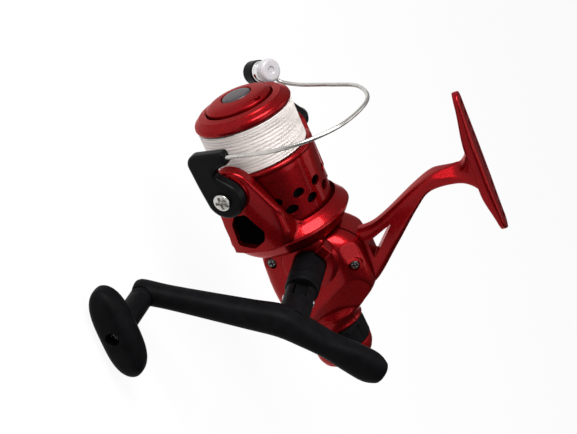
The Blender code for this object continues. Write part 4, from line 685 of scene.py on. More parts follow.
def make_spool(sizes):
    """Spool: lip with its ridge, arbor, flange and skirt on one profile, pierced by two rows of ovals."""
    lip, front, rear = sizes.lip_radius / MM, sizes.skirt_radius / MM, sizes.skirt_rear / MM
    profile = [
        (2.4, 3), (14.2, 3), (14.6, 4.6, 0.2), (15.3, 5.0, 0.3), (17.2, 4.5, 0.5), (17.9, 4.4, 0.2),
        (18.5, 3.8, 0.3), (lip - 0.4, 2.3, 0.7), (lip, 0.8, 0.6), (lip - 0.3, 0, 0.4),
        (lip - 1.2, -0.6, 0.3), (12, -1.6, 0.6), (12, -18, 0.6), (front - 0.8, -18.6, 0.4),
        (front, -19.3, 0.5), (front, -20.3, 0.3), (front - 0.35, -20.9, 0.3), (front - 0.3, -23, 0.5),
        (rear + 0.1, -45.8, 0.2), (rear + 0.1, -46.8, 0.25), (rear - 0.3, -47, 0.2),
        (rear - 1.3, -47, 0.2), (front - 1.7, -23, 1), (front - 3.7, -21, 0.8), (10.5, -21),
        (10.5, -3, 0.8), (5, -3, 0.4), (5, -21), (2.4, -21),
    ]
    body = build("spool_body", lathe(profile, steps=208))
    holes = []
    for row, x in enumerate(HOLE_ROWS):
        wall = front - 0.3 + (x + 23) / 22.8 * (front - rear - 0.4)
        for k in range(HOLES_ROUND):
            turn = HOLES_START + (k + row / 2) * TAU / HOLES_ROUND
            holes.append(skirt_hole(x, turn, wall, sizes))
    combine(body, "DIFFERENCE", gather(*holes))
    finish(body, "lacquer", "spool", "red_lacquer", "spool", flat_faces=True)
    cap = [
        (6.6, 3.3), (13.9, 3.3), (14.0, 5.9, 0.2), (12.5, 7.0, 1.2), (10.2, 7.8, 1.6), (7.1, 8.2, 0.3),
        (6.6, 7.9, 0.2),
    ]
    top = build("spool_front", lathe(cap))
    out, side = around(NOTCH_TURN)
    notch = oval(*NOTCH_HALVES, 2.6, 28)
    combine(top, "DIFFERENCE", slab(notch, 5.6, 9.0, NOTCH_RADIUS * out, out, side, count=28))
    finish(top, "lacquer", "spool", "red_lacquer", "spool_cap", flat_faces=True)
    r = sizes.button_radius / MM
    press = [
        (0, 8.8), (3.0, 8.8, 1.0), (r - 0.9, 8.5, 0.9), (r, 7.8, 0.5), (r, 4.6), (r - 1, 4.6),
        (r - 1, 6.3, 0.3), (0, 6.3),
    ]
    finish(build("push_button", lathe(press)), "button", "button", "grey_plastic", "spool_button")


def make_line(sizes):
    """Line: one path of close turns, then slower strokes laid over them, and the core below.

    The path is x(s) and radius(s) at angle s: even along the close turns, and there and back, eased
    at both ends, along the strokes. Its painted_shade attribute is painted shade and sheen on the
    line's colour: a slanting wave of (angle, x), with a tone that changes turn by turn.
    """
    half = sizes.line_thickness / MM / 2
    outer = sizes.line_radius / MM - half
    bed = outer - 0.22
    sides, per_turn, turns, strokes, stroke_turns = 6, 60, 56, 6, 12.5
    close = np.arange(turns * per_turn) / per_turn
    x = -0.95 - close / turns * 17.3
    radius = np.full(len(x), bed)
    lead = np.arange(int(strokes * stroke_turns * per_turn) + 1) / per_turn
    phase = lead / stroke_turns
    to_front = 1 - np.abs((phase % 2) - 1)
    eased = 0.5 - 0.5 * np.sin((0.5 - to_front) * math.pi) * 0.3 - 0.7 * (0.5 - to_front)
    x = np.r_[x, -18.25 + eased * 17.2]
    radius = np.r_[radius, bed + step(lead * 3) * np.where(phase % 2 < 1, 0.04, 0.08)]
    angle = np.r_[close, turns + lead] * TAU
    path = np.stack([x, radius * np.cos(angle), radius * np.sin(angle)], 1)
    wound = build("wound_line", tube(path, half, sides, X_SIDE), weld=False)
    # Painted shade and sheen: slanting bands of light and dark, plus a tone per turn, kept on the points
    slant = np.sin(2 * angle + x * 0.75) * np.cos(angle - x * 0.42 + 0.6)
    streak = np.sin(np.floor(np.r_[close, turns + phase * 6]) * 2.4)
    painted_shade = np.clip(0.28 + 0.34 * slant + 0.16 * streak, 0, 1)
    kept = wound.data.attributes.new("painted_shade", "FLOAT", "POINT")
    kept.data.foreach_set("value", np.repeat(painted_shade, sides).astype(np.float32))
    finish(wound, "line", "spool", "line_nylon", "line_winding")
    core_r = bed - half * 0.6
    core = [(12.3, -1.75), (core_r, -1.1, 0.2), (core_r, -18.2, 0.2), (12.3, -17.9)]
    finish(build("line_bed", lathe(core)), "line_bed", "spool", "line_nylon", "line_core")


def rotor_edge(top, low_side, flare, corner, count):
    """Front edge of half the rotor as (x, w), w the distance round: cup rim, arm outline, cup rim."""
    reach = ROTOR_ROUND * math.pi / 2
    head = arc((PIVOT[0], 0), top, -95, 70, 40)
    start = rounded([(CUP_RIM, -reach), (CUP_RIM, -low_side, corner), (-22, -top)], 12, closed=False)
    ends = [(-17.3, top * 0.94), (-38, flare - 3.3, 6), (CUP_RIM, flare, 6), (CUP_RIM, reach)]
    end = rounded(ends, 14, closed=False)
    return resample(np.vstack([start[:-1], head, end[1:]]), count, closed=False)


def make_rotor(sizes):
    """Rotor: cup, neck and both arms as one closed grid round the spool's axis.

    A column keeps one place s of the front edge. Rows climb the cup at even x, then run in straight
    lines of (x, w) to the edge drawn in, round it, cross the thickness and go back inside to the neck.
    The outer radius is cup(x) + (arm - cup(x)) * m, m a smooth step at the arm's foot and sides.
    """
    cup, arm = sizes.cup_radius / MM, sizes.arm_radius / MM
    count = 200
    halves = []
    for half in ROTOR_HALVES:
        edge = rotor_edge(*half, count + 1)
        ahead = unit(np.gradient(edge, axis=0))
        inward = np.stack([-ahead[:, 1], ahead[:, 0]], 1)
        even = np.linspace(edge[0, 1], edge[-1, 1], count + 1)
        halves.append([part[:-1] for part in (edge, inward, 0.6 * edge[:, 1] + 0.4 * even, even)])
    edge, inward, base, even = (np.concatenate([near, far]) for near, far in zip(*halves))
    far_half = np.repeat([0.0, math.pi], count)
    low = np.repeat([-12.0, -7.4], count)
    high = np.repeat([20.3, 11.3], count)
    slope = cup - np.array((0.1, 0.4, 1.25, 2.05, 2.85, 3.8))
    bulge = np.r_[20.7, 21.7, 22.6, 23.4, 24.1, 24.8, 25.4, 26.1, slope]

    def outer(x, w):
        """Outer radius at (x, w), and the share of the arm in it."""
        draw = 0.8 * np.clip(CUP_RIM - x, 0, 4)
        share = step((x + 49.9) / 1.5) * step((w - low) / 2.6) * step((high - draw - w) / 7.0)
        shell = np.interp(x, CUP_HEIGHTS, bulge)
        return shell + (arm - shell) * share, share

    def inner(x):
        """Inner radius at x, which steps out from the cup to the arms."""
        return CUP_INSIDE + ARM_STEP * step((x - CUP_RIM) / 3)

    rows = []
    for x in CUP_ROWS:
        level = np.full(len(base), x)
        rows.append((level, base, outer(level, base)[0]))
    start = np.stack([np.full(len(base), float(CUP_ROWS[-1])), base], 1)
    turned_in = edge + inward * ROTOR_EDGE
    for t in np.linspace(0, 1, 14)[1:]:
        spot = start + (turned_in - start) * t
        rows.append((spot[:, 0], spot[:, 1], outer(spot[:, 0], spot[:, 1])[0]))
    full, share = outer(turned_in[:, 0], turned_in[:, 1])
    for a in np.linspace(0, math.pi / 2, 7)[1:]:
        spot = edge + inward * (ROTOR_EDGE * (1 - math.sin(a)))
        slant = full - (full - 22.9) * math.sin(a)
        turned = full - ROTOR_EDGE * (1 - math.cos(a))
        rows.append((spot[:, 0], spot[:, 1], share * turned + (1 - share) * slant))
    last = rows[-1][2]
    inside = np.minimum(inner(edge[:, 0]) + 0.5, last - 0.05)
    for t in (0.33, 0.67, 1.0):
        rows.append((edge[:, 0], edge[:, 1], last + (inside - last) * t))
    back = edge + inward * 0.6
    floor = np.stack([np.full(len(base), -48.2), base], 1)
    for t in np.linspace(0, 1, 9):
        spot = back + (floor - back) * t
        rows.append((spot[:, 0], spot[:, 1], inner(spot[:, 0])))
    neck = [
        (CUP_INSIDE, -48.2), (21.8, -49.8, 0.6), (18.4, -49.8, 0.4), (18.4, -30, 0.8), (17.4, -29, 0.3),
        (4.5, -29), (4.5, -32), (16.8, -32, 0.6), (16.8, -56.4, 0.4), (17.6, -57.2),
    ]
    for k, (radius, x) in enumerate(rounded(neck, 5, closed=False)[1:]):
        spread = base + (even - base) * min(1, k / 6)
        rows.append((np.full(len(base), x), spread, np.full(len(base), radius)))
    x, w, radius = (np.stack(part) for part in zip(*rows))
    turn = w / ROTOR_ROUND + far_half
    out = np.cos(turn)[..., None] * BAIL_AXIS + np.sin(turn)[..., None] * BAIL_SIDE
    bow = build("rotor_bow", surface(x[..., None] * X_SIDE + radius[..., None] * out, wrap_rows=True))
    pads = [rod(r, 26, arm + 0.6, PIVOT, BAIL_AXIS * sign, 72) for r, sign in ((8.6, 1), (5.0, -1))]
    combine(bow, "UNION", gather(*pads))
    ways = [rod(2.1, 20, arm + 3, PIVOT, BAIL_AXIS * sign, 40) for sign in (1, -1)]
    outline = rounded(RECESS, 8)
    recess = slab(outline, -arm - 6, -arm + 3.0, (0, 0, 0), X_SIDE, BAIL_SIDE, (0, 0.5), 140)
    combine(bow, "DIFFERENCE", gather(*ways, recess))
    finish(bow, "lacquer", "rotor", "red_lacquer", "rotor", flat_faces=True)
    # Painted shade: a thin black sheet over the red neck, which lies in shade inside the cup
    band = lathe([(18.4, -49.6), (18.48, -49.6), (18.48, -30.2), (18.4, -30.2)], steps=160)
    finish(build("neck_painted_shade", band), "moulding", "rotor", "black_plastic")
    # Painted shade: a black sheet on the floor of the near arm's pocket, which is red but in shade
    bed = slab(outline, -arm + 2.75, -arm + 2.98, (0, 0, 0), X_SIDE, BAIL_SIDE, (0.05, 0.05), 140)
    finish(build("recess_painted_shade", bed), "oxide_and_painted_shade", "rotor", "black_plastic")
    make_bail_spring(arm)
    for name, sign in (("pivot_screw_near", 1), ("pivot_screw_far", -1)):
        shape = cross_screw(3.6, 1.4, 1.8, 11.0, 36.4, PIVOT, BAIL_AXIS * sign)
        finish(build(name, shape), "steel", "rotor", "steel", name.replace("pivot", "bail"))


def make_bail_spring(arm):
    """Coil in the near arm's recess: a circle of radius 1 carried along x, five turns and their tips."""
    turn = np.linspace(0, 5 * TAU, 161)
    along = -37.5 + np.linspace(-4.2, 4.2, len(turn))
    up = arm - 3.0 + 1.55 + np.cos(turn)
    path = along[:, None] * X_SIDE + up[:, None] * BAIL_AXIS + np.sin(turn)[:, None] * BAIL_SIDE
    ends = (path[:1] - X_SIDE * 0.5, path[-1:] + X_SIDE * 0.5)
    coil = tube(np.vstack([ends[0], path, ends[1]]), 0.25, 10, unit(X_SIDE + 0.01 * BAIL_AXIS))
    # The coil's black oxide, darkened further as painted shade so that it sinks into the pocket
    finish(build("snap_spring", coil), "oxide_and_painted_shade", "rotor", "steel", "bail_spring")


def wire_route():
    """The wire's path: out of the near lever's tip, round the front and into the roller's cap."""
    bow = [(-5.4, 37, 17), (-6.8, 33.6, 32.4), (-7.8, 23.4, 45.2), (-8.4, 5, 51.6), (-8.2, -12.6, 45.4)]
    bow += [(-7.2, -21.6, 32), (-6, -29.2, 17.8), (-3.2, -31.9, 9.6), (0.2, -31.1, 8.2)]
    return smooth([WIRE_START - BAIL_SIDE * 2.4, WIRE_START + BAIL_SIDE, *bow], 24)


def make_bail(sizes):
    """Levers as rounded slabs on the bail's axis, and the wire as a tube between them."""
    half = sizes.lever_thickness / MM / 2
    low, high = LEVER_MIDDLE - half, LEVER_MIDDLE + half
    middle = (0, 0, 0)
    hub = [(*p, 0) for p in arc((-21, 0), 8.3, 42, 255, 40)]
    tip = [(-14.5, -9, 3), *[(*p, 0) for p in arc((-4.4, -5), 4.6, -100, 0, 16)]]
    tip += [(-0.4, 9, 1.8), (-6, 9, 1.8), (-7.4, 2.2, 1.6), (-10.4, 0.6, 3)]
    shape = slab(rounded(hub + tip), -high, -low, middle, X_SIDE, BAIL_SIDE, (1.6, 0.6), 260)
    lever = build("bail_lever_near", shape)
    radius = sizes.wire_radius / MM
    socket = rod(radius + 0.3, -2.5, 3.0, WIRE_START, BAIL_SIDE, 32)
    combine(lever, "DIFFERENCE", rod(2.2, 20, 50, PIVOT, BAIL_AXIS, 48), socket)
    finish(lever, "gloss_moulding", "bail", "black_plastic", "bail_arm_near", flat_faces=True)
    hub = [(*p, 0) for p in arc((-21, 0), 4.8, 40, 275, 36)]
    tip = [(-12, -8.4, 3), (-3, -14, 2.5), (3.6, -14.4, 2), (6, -11.4, 1.6), (3.6, -9.4, 1.6)]
    tip += [(-3.2, -9, 2.5), (-9, -3.8, 3)]
    shape = slab(rounded(hub + tip), low, high, middle, X_SIDE, BAIL_SIDE, (0.6, 1.3), 240)
    lever = build("bail_lever_far", shape)
    lug = [(0, 0), (5.1, 0, 1.0), (5.1, 6, 0.3), (1.5, 6), (1.5, 12.3, 0.2), (0, 12.3)]
    combine(lever, "UNION", lathe(lug, ROLLER_PLACE, ROLLER_AXIS, 96))
    combine(lever, "DIFFERENCE", rod(2.2, 20, 50, PIVOT, -BAIL_AXIS, 48))
    finish(lever, "gloss_moulding", "bail", "black_plastic", "bail_arm_far", flat_faces=True)
    route = wire_route()[6:]
    wire = build("bow_wire", tube(route, radius, 24, route - WIRE_CENTRE))
    finish(wire, "steel", "bail", "steel", "bail_wire")


def make_roller(sizes):
    """Line roller with its waisted groove, its sleeve, and the cap that holds the wire's end."""
    r = sizes.roller_radius / MM
    groove = [
        (2.8, 6.3), (2.8, 9.9), (r, 9.9, 0.2), (r, 9.3, 0.3), (r - 0.8, 8.5, 0.5), (r - 0.8, 7.7, 0.5),
        (r, 6.9, 0.3), (r, 6.3, 0.2),
    ]
    ring = build("roller_ring", lathe(groove, ROLLER_PLACE, ROLLER_AXIS))
    finish(ring, "roller", "roller", "roller_metal", "line_roller")
    bush = [(1.8, 6.3), (2.5, 6.3, 0.1), (2.5, 9.9, 0.1), (1.8, 9.9)]
    sleeve = build("roller_sleeve", lathe(bush, ROLLER_PLACE, ROLLER_AXIS))
    finish(sleeve, "cap", "bail", "white_plastic", "roller_bush")
    cap = [
        (0, 13.8), (1.3, 13.8, 0.3), (1.8, 14.35, 0.4), (4.1, 14.4, 0.6), (5, 13.6, 0.5), (5, 11.2, 0.2),
        (4.8, 11.0, 0.2), (4.8, 10.2, 0.2), (1.8, 10.2), (1.8, 12.6), (0, 12.6),
    ]
    piece = build("roller_end", lathe(cap, ROLLER_PLACE, ROLLER_AXIS))
    route = wire_route()
    end = np.vstack([route[-30:], 2 * route[-1:] - route[-6:-5]])
    combine(piece, "DIFFERENCE", tube(end, sizes.wire_radius / MM + 0.3, 20, end - WIRE_CENTRE))
    finish(piece, "cap", "bail", "white_plastic", "roller_cap")


def pressed(points, facet, sign, kept, inset=0.0):
    """Presses a grid flat to a facet, or with sign -1 to its mirror image across the seam's plane.

    P - n k ln(1 + e^(g/k)), n the facet's direction, g the distance beyond it and k its edge's softness.
    """
    place, normal = (np.array(part) * (1, sign, 1) for part in facet)
    flat = unit(normal)
    gap = (points - place) @ flat + inset
    return points - (kept * FACET_EDGE * np.logaddexp(0, gap / FACET_EDGE))[..., None] * flat


def case_skin(side, seam, inset, front):
    """One skin of the gear case, as rows along x and columns round from seam to seam.

    A row is the superellipse (|y|/w)^p + (|z - m|/h)^p = 1, with w, h, m and p curves of x, kept to
    one side of the seam and drawn in by the inset, at both ends and at the rear ring's groove. Rows
    before the first fill the front, shrinking to the seam's line. All are pressed to each facet, a
    press that fades behind the x where the facet ends.
    """
    share = np.r_[0, 0.0015, 0.005, 0.011, 0.02, np.linspace(0.035, 0.98, 84), 0.99, 0.9955, 0.9985, 1]
    if inset:
        front_wall = 2.0 / (front - CASE_REAR)
        share = front_wall + share * (1 - front_wall)
    s = smooth(CASE_STATIONS, 12)
    low, top, width, power = (np.interp(share, s[:, 0], s[:, k])[:, None] for k in (1, 2, 3, 4))
    x = (front + share * (CASE_REAR - front))[:, None]
    end = np.minimum(front - x, x - CASE_REAR)
    draw = CASE_EDGE * (1 - np.sqrt(np.clip(1 - (1 - np.clip(end / CASE_EDGE, 0, 1)) ** 2, 0, 1)))
    groove = 0.5 * np.exp(-(((x - CASE_GROOVE) / 0.5) ** 2))
    draw = inset if inset else draw + groove
    w, h, m = width - draw, (low + top) / 2 - draw, (top - low) / 2
    if inset:
        bore = step((x - DRAG_BORE) / 2)
        w = DRAG_BORE_RADIUS + (w - DRAG_BORE_RADIUS) * bore
        h = DRAG_BORE_RADIUS + (h - DRAG_BORE_RADIUS) * bore
        m = m * bore
        power = 2 + (power - 2) * bore
    limit = np.arccos((seam / w) ** (power / 2))
    t = np.linspace(0, 1, CASE_COLUMNS)[None]
    turn = -limit + 2 * limit * t if side > 0 else limit + (TAU - 2 * limit) * t
    y = w * squared_off(np.cos(turn), power)
    z = h * squared_off(np.sin(turn), power) + m
    points = np.stack(np.broadcast_arrays(x, y, z), -1)
    ends = sorted(points[0, [0, -1], 2])
    line = np.stack([points[0, :, 0], np.full(CASE_COLUMNS, seam), np.clip(points[0, :, 2], *ends)], 1)
    fill = line + (points[0] - line) * np.array((0, 0.25, 0.5, 0.7, 0.85, 0.95))[:, None, None]
    points = np.concatenate([fill, points])
    for *facet, rear in CASE_FACETS:
        kept = step((points[..., 0] - rear + FACET_FADE) / FACET_FADE)
        for sign in (1, -1):
            points = pressed(points, facet, sign, kept, inset)
    points[:, [0, -1], 1] = seam
    points[0, :, 1] = seam
    return points


def case_half(side, seam, wall, front):
    """Half the case as a closed shell.

    Each row runs along the outer skin and back along the inner one, and a strip of faces crosses the
    wall at both ends.
    """
    outer, inner = (case_skin(side, seam, inset, front) for inset in (0, wall))
    points, faces = surface(np.concatenate([outer, inner[:, ::-1]], 1))
    row = 2 * CASE_COLUMNS
    there = np.arange(CASE_COLUMNS - 1)
    strip = np.stack([there, there + 1, row - 2 - there, row - 1 - there], 1)
    return points, faces + strip[:, ::-1].tolist() + (strip + len(points) - row).tolist()


def make_case(sizes):
    """Gear case's frame half with its front boss, bearing seat and pawl post."""
    wall = sizes.case_wall / MM
    case = build("case_frame", case_half(-1, SEAM_Y - SEAM_GAP, wall, CASE_FRONT))
    ring = lathe([(3, -13), (3, -17.2), (8.6, -17.2, 0.5), (9.2, -15, 0.3), (9.2, -13)], CRANK, Y_SIDE, 96)
    combine(case, "UNION", ring)
    bores = [
        rod(14.8, -61.5, -50, (0, 0, 0), X_SIDE, 96),
        rod(4, -30, 0, CRANK, Y_SIDE, 48),
        rod(1.9, -25, -10, SWITCH_PLACE * (1, 1, 0), Z_SIDE, 32),
    ]
    combine(case, "DIFFERENCE", gather(*bores))
    finish(case, "lacquer", "frame", "red_lacquer", "main_frame", flat_faces=True)
    boss = [
        (16, -43, 0.3), (16, -59.6), (14.8, -59.6), (14.8, -51, 0.3), (5.4, -51), (5.4, -48), (9.3, -48),
        (9.3, -43, 0.2),
    ]
    finish(build("case_boss", lathe(boss)), "lacquer", "frame", "red_lacquer", "main_frame")
    place = PAWL_REACH * around(PAWL_TURN)[0]
    post = lathe([(0, -44), (0.8, -44), (0.8, -39.4, 0.2), (0, -39.4)], place, X_SIDE, 32)
    finish(build("pawl_pivot", post), "steel", "frame", "red_lacquer", "main_frame")


def make_stem(sizes):
    """Stem: ovals between its front and rear curves, pressed flat on both sides and cut by a window."""
    front = [
        (-62.8, 21.2), (-62.4, 33.6), (-51.5, 54.7), (-47.7, 64.1), (-47.1, 72.9), (-45.1, 78.9),
        (-38.1, 82.3),
    ]
    rear = [
        (-88.8, 15.2), (-88.6, 25), (-74.2, 40.4), (-60.9, 53.7), (-54.9, 61.7), (-54.9, 73.3),
        (-58.3, 79.1), (-63.9, 82.3),
    ]
    front, rear = (resample(smooth(curve, 12), STEM_GRID, closed=False) for curve in (front, rear))
    t = np.linspace(0, 1, STEM_GRID)
    halves = np.array((5.0, 5.0, 5.5, 5.5, 6.3)) * sizes.stem_thickness / MM / 10
    thick = np.interp(t, (0, 0.35, 0.6, 0.8, 1), halves)
    ring = oval(1, 1, 3.6, STEM_GRID)
    middle, half = (front + rear) / 2, (front - rear) / 2
    flat = middle[:, None] + half[:, None] * ring[None, :, :1]
    points = np.stack([flat[..., 0], thick[:, None] * ring[None, :, 1], flat[..., 1]], -1)
    for sign in (1, -1):
        behind = step((STEM_FACET_END[0] - points[..., 0]) / STEM_FACET_FADE[0])
        below = step((STEM_FACET_END[1] - points[..., 2]) / STEM_FACET_FADE[1])
        points = pressed(points, STEM_FACET, sign, behind * below)
    stem = build("stem_arm", surface(points, capped=True))
    window = rounded([(-63.4, 41.6, 1.5), (-69.2, 28.8, 1.5), (-77.2, 29.0, 1.5)], 8)
    combine(stem, "DIFFERENCE", slab(window, -12, 12, (0, 0, 0), X_SIDE, Z_SIDE, count=90))
    finish(stem, "lacquer", "frame", "red_lacquer", "main_frame", flat_faces=True)


def make_foot(sizes):
    """Foot: ovals along its length, with round ends and a thicker middle, dented and slit on its flat.

    At a distance d from an end the half width is a quarter circle of radius e up to d = e, and then a
    smooth step to the middle's half width.
    """
    middle, _, top = FOOT_CENTRE
    half, end = sizes.foot_width / MM / 2, sizes.foot_width / MM / 2 - 1.6
    x = middle + FOOT_HALF * np.sin(np.linspace(math.pi / 2, -math.pi / 2, 90))
    d = FOOT_HALF - np.abs(x - middle)
    tip = np.sqrt(np.clip(end**2 - (end - d) ** 2, 0.02, None))
    width = np.where(d < end, tip, end + (half - end) * step((d - end) / 20.3))
    deep = 2.6 + 2.8 * step(np.where(x > -50, (-18 - x) / 25.2, (x + 81) / 19.2))
    ring = oval(1, 1, 4, 64)
    y = width[:, None] * ring[None, :, 0]
    z = top + deep[:, None] / 2 * (ring[None, :, 1] - 1)
    points = np.stack(np.broadcast_arrays(x[:, None], y, z), -1)
    foot = build("foot_plate", surface(points, capped=True))
    dents = []
    for first, apart in ((-23, -4.8), (-75, 4.8)):
        for k in range(4):
            place = (first + k * apart, 0, 0)
            dents.append(slab(oval(1.7, 1.3, 2, 28), top - 1, top + 2, place, X_SIDE, Y_SIDE, count=28))
    slit = slab(oval(6.8, 0.8, 6, 60), top - 1, top + 2, (-47.2, 0, 0), X_SIDE, Y_SIDE, count=60)
    combine(foot, "DIFFERENCE", gather(*dents, slit))
    finish(foot, "lacquer", "frame", "red_lacquer", "main_frame", flat_faces=True)


def make_cover(sizes):
    """Side cover: the case's other half with its domed collar seat, stop block and screw wells."""
    cover = build("cover_shell", case_half(1, SEAM_Y + SEAM_GAP, sizes.case_wall / MM, CASE_FRONT - 0.3))
    seat = [(4.5, 13), (4.5, 17.4, 0.2), (7.7, 17.5, 0.3), (10.6, 17.0, 1.4), (12.4, 15.5, 1.0)]
    dome = lathe([*seat, (12.4, 13.4)], CRANK, Y_SIDE, 112)
    aim = np.array((math.cos(math.radians(60)), 0, math.sin(math.radians(60))))
    block = rounded([(7.4, -2.8, 0.6), (12.4, -2.8, 0.8), (12.4, 2.8, 0.8), (7.4, 2.8, 0.6)], 6)
    block = slab(block, 15, 20.4, CRANK * (1, 0, 1), aim, np.cross(Y_SIDE, aim), (0, 0.7), 64)
    sleeves = [rod(3.4, SEAM_Y + 0.6, seat + 0.6, (x, 0, z), Y_SIDE, 48) for x, z, seat in COVER_SCREWS]
    combine(cover, "UNION", dome, block, gather(*sleeves))
    wells = [
        lathe([(0, 2), (1.4, 2), (1.4, seat), (2.3, seat, 0.3), (2.3, 24), (0, 24)], (x, 0, z), Y_SIDE, 56)
        for x, z, seat in COVER_SCREWS
    ]
    combine(cover, "DIFFERENCE", gather(*wells, rod(5.5, 7, 22, CRANK, Y_SIDE, 64)))
    finish(cover, "lacquer", "frame", "red_lacquer", "side_cover", flat_faces=True)
    for name, (x, z, seat) in zip(("top", "low"), COVER_SCREWS):
        shape = cross_screw(1.9, 1.2, 1.1, seat - 1.0, seat + 0.3, (x, 0, z), Y_SIDE)
        finish(build(f"case_screw_{name}", shape), "dark_steel", "frame", "steel", f"cover_screw_{name}")


def make_crank(sizes):
    """Collar with its grooves and tongue, the fold pin, and the milled cap on the far side."""
    r = sizes.collar_radius / MM
    collar = [
        (2.5, 16.1), (5.1, 16.1), (5.1, 17.7), (r - 0.2, 17.7, 0.3), (r, 18.6, 0.3), (r, 34.6, 0.2),
        (r - 0.5, 34.9, 0.2), (r - 0.5, 35.6, 0.2), (r, 35.9, 0.2), (r, 37.6, 0.5), (r - 0.5, 39.1, 0.4),
        (0, 39.1), (0, 28.7), (2.5, 28.7),
    ]
    piece = build("crank_collar", lathe(collar, CRANK, Y_SIDE))
    outline = [(-9, 3.1), (-9, -3.1), *arc((0, 0), 3.1, -90, 90, 30)]
    combine(piece, "UNION", slab(outline, -2.5, 2.5, FOLD_PLACE, Y_SIDE, FOLD_SIDE, (0.3, 0.3), 120))
    combine(piece, "DIFFERENCE", rod(1.7, -20, 20, FOLD_PLACE, ARM_AXIS, 32))
    finish(piece, "moulding", "crank", "black_plastic", "handle_collar", flat_faces=True)
    pin = [(0, -6.6), (0.9, -6.5, 0.3), (1.4, -6.1, 0.3), (1.4, 6.1, 0.3), (0.9, 6.5, 0.3), (0, 6.6)]
    hinge = build("hinge_pin", lathe(pin, FOLD_PLACE, ARM_AXIS, 48))
    finish(hinge, "steel", "crank", "steel", "fold_pin")

    def milled(t, y):
        """Grooves 0.035 of the radius deep, 24 round the rim, as a cosine's cube, fading at both ends."""
        ends = step((y + 23.2) / 0.8) * step((-18.0 - y) / 0.6)
        return 1 - 0.035 * (0.5 + 0.5 * np.cos(24 * t)) ** 3 * ends

    rim = [
        (0, -23.7), (5.6, -23.7, 0.8), (6.4, -23.5, 0.3), (7.5, -22.4, 0.6), (7.5, -18.3, 0.3),
        (7.1, -17.7, 0.2), (2.5, -17.7), (2.5, -21.6), (0, -21.6),
    ]
    cap = build("crank_cap", lathe(rim, CRANK, Y_SIDE, 192, flutes=milled))
    finish(cap, "moulding", "crank", "black_plastic", "handle_cap")


def fork_shape(radius):
    """Forked hub: a turned barrel, cut by a slot for the collar's tongue and rounded where it folds."""
    barrel = [(0, 39.5), (radius, 39.5, 0.5), (radius, ARM_Y - 1), (0, ARM_Y - 1)]
    fork = build("crank_fork", lathe(barrel, CRANK, Y_SIDE, 112))
    slot = slab([(-20, -4.6), (4.6, -4.6), (4.6, 20), (-20, 20)], -2.9, 2.9, FOLD_PLACE, Y_SIDE, FOLD_SIDE)
    outline = [(-20, 0), *arc((0, 0), 6.6, 180, 90, 24), (0, 20), (-20, 20)]
    corner = slab(outline, -15, 15, FOLD_PLACE, Y_SIDE, FOLD_SIDE, count=160)
    combine(fork, "DIFFERENCE", slot, corner)
    return taken_shape(fork)


def make_handle(sizes):
    """Arm: ovals along a bent spine from the knob's end to the counter paddle, joined to the forked hub.

    A section is (distance from the hub, half width, half depth).
    """
    hub = CRANK[[0, 2]]
    out = ARM_AXIS[[0, 2]]
    back = np.array((math.cos(PADDLE_DIRECTION), math.sin(PADDLE_DIRECTION)))
    rise = np.array((-out[1], out[0])) * 0.8
    arm_sections = (
        (ARM_REACH + 4.7, 1.2, 1.6),
        (ARM_REACH + 4.3, 2.9, 3.4),
        (ARM_REACH + 3.0, 4.1, 4.6),
        (ARM_REACH, 4.7, 5.0),
        (ARM_REACH * 0.8, 4.5, 5.0),
        (ARM_REACH * 0.3, 5.5, 6.0),
        (4.0, 6.1, 6.4),
    )
    paddle_sections = (
        (6.0, 5.3, 6.4),
        (PADDLE_REACH * 0.4, 4.8, 6.0),
        (PADDLE_REACH * 0.64, 6.1, 5.6),
        (PADDLE_REACH * 0.84, 6.6, 5.0),
        (PADDLE_REACH * 0.955, 4.9, 3.8),
        (PADDLE_REACH * 0.99, 3.2, 2.4),
        (PADDLE_REACH, 1.4, 1.1),
    )
    spine = [(*(hub + rise + out * reach), width, depth) for reach, width, depth in arm_sections]
    spine += [(*(hub + back * reach), width, depth) for reach, width, depth in paddle_sections]
    s = smooth(spine, 10)
    ahead = unit(np.gradient(s[:, :2], axis=0))
    ring = oval(1, 1, 2.35, 64)
    side = s[:, None, 2] * ring[None, :, 0]
    x = s[:, None, 0] - ahead[:, None, 1] * side
    y = ARM_Y + s[:, None, 3] * ring[None, :, 1]
    z = s[:, None, 1] + ahead[:, None, 0] * side
    arm = build("crank_arm", surface(np.stack([x, y, z], -1), capped=True))
    combine(arm, "UNION", fork_shape(sizes.hub_radius / MM))
    bores = (rod(1.7, -20, 20, FOLD_PLACE, ARM_AXIS, 32), rod(5.0, 2.7, 20, KNOB_END, KNOB_AXIS, 96))
    combine(arm, "DIFFERENCE", *bores)
    finish(arm, "moulding", "handle", "black_plastic", "handle_arm", flat_faces=True)
    r = sizes.post_radius / MM
    turned = [
        (0, 3), (r, 3), (r, 5.2, 0.2), (r - 0.25, 5.5, 0.2), (r - 0.25, 6.1, 0.2), (r, 6.4, 0.2),
        (r, 20.9, 0.7), (r - 0.8, 21.7, 0.4), (1.8, 21.7), (1.8, 30.4, 0.2), (0, 30.4),
    ]
    post = build("knob_post", lathe(turned, KNOB_END, KNOB_AXIS))
    finish(post, "moulding", "handle", "black_plastic", "knob_spindle")
    screw = cross_screw(2.2, 1.6, 1.0, 0.1, 30.7, KNOB_END, KNOB_AXIS)
    finish(build("knob_end_screw", screw), "steel", "handle", "steel", "knob_screw")


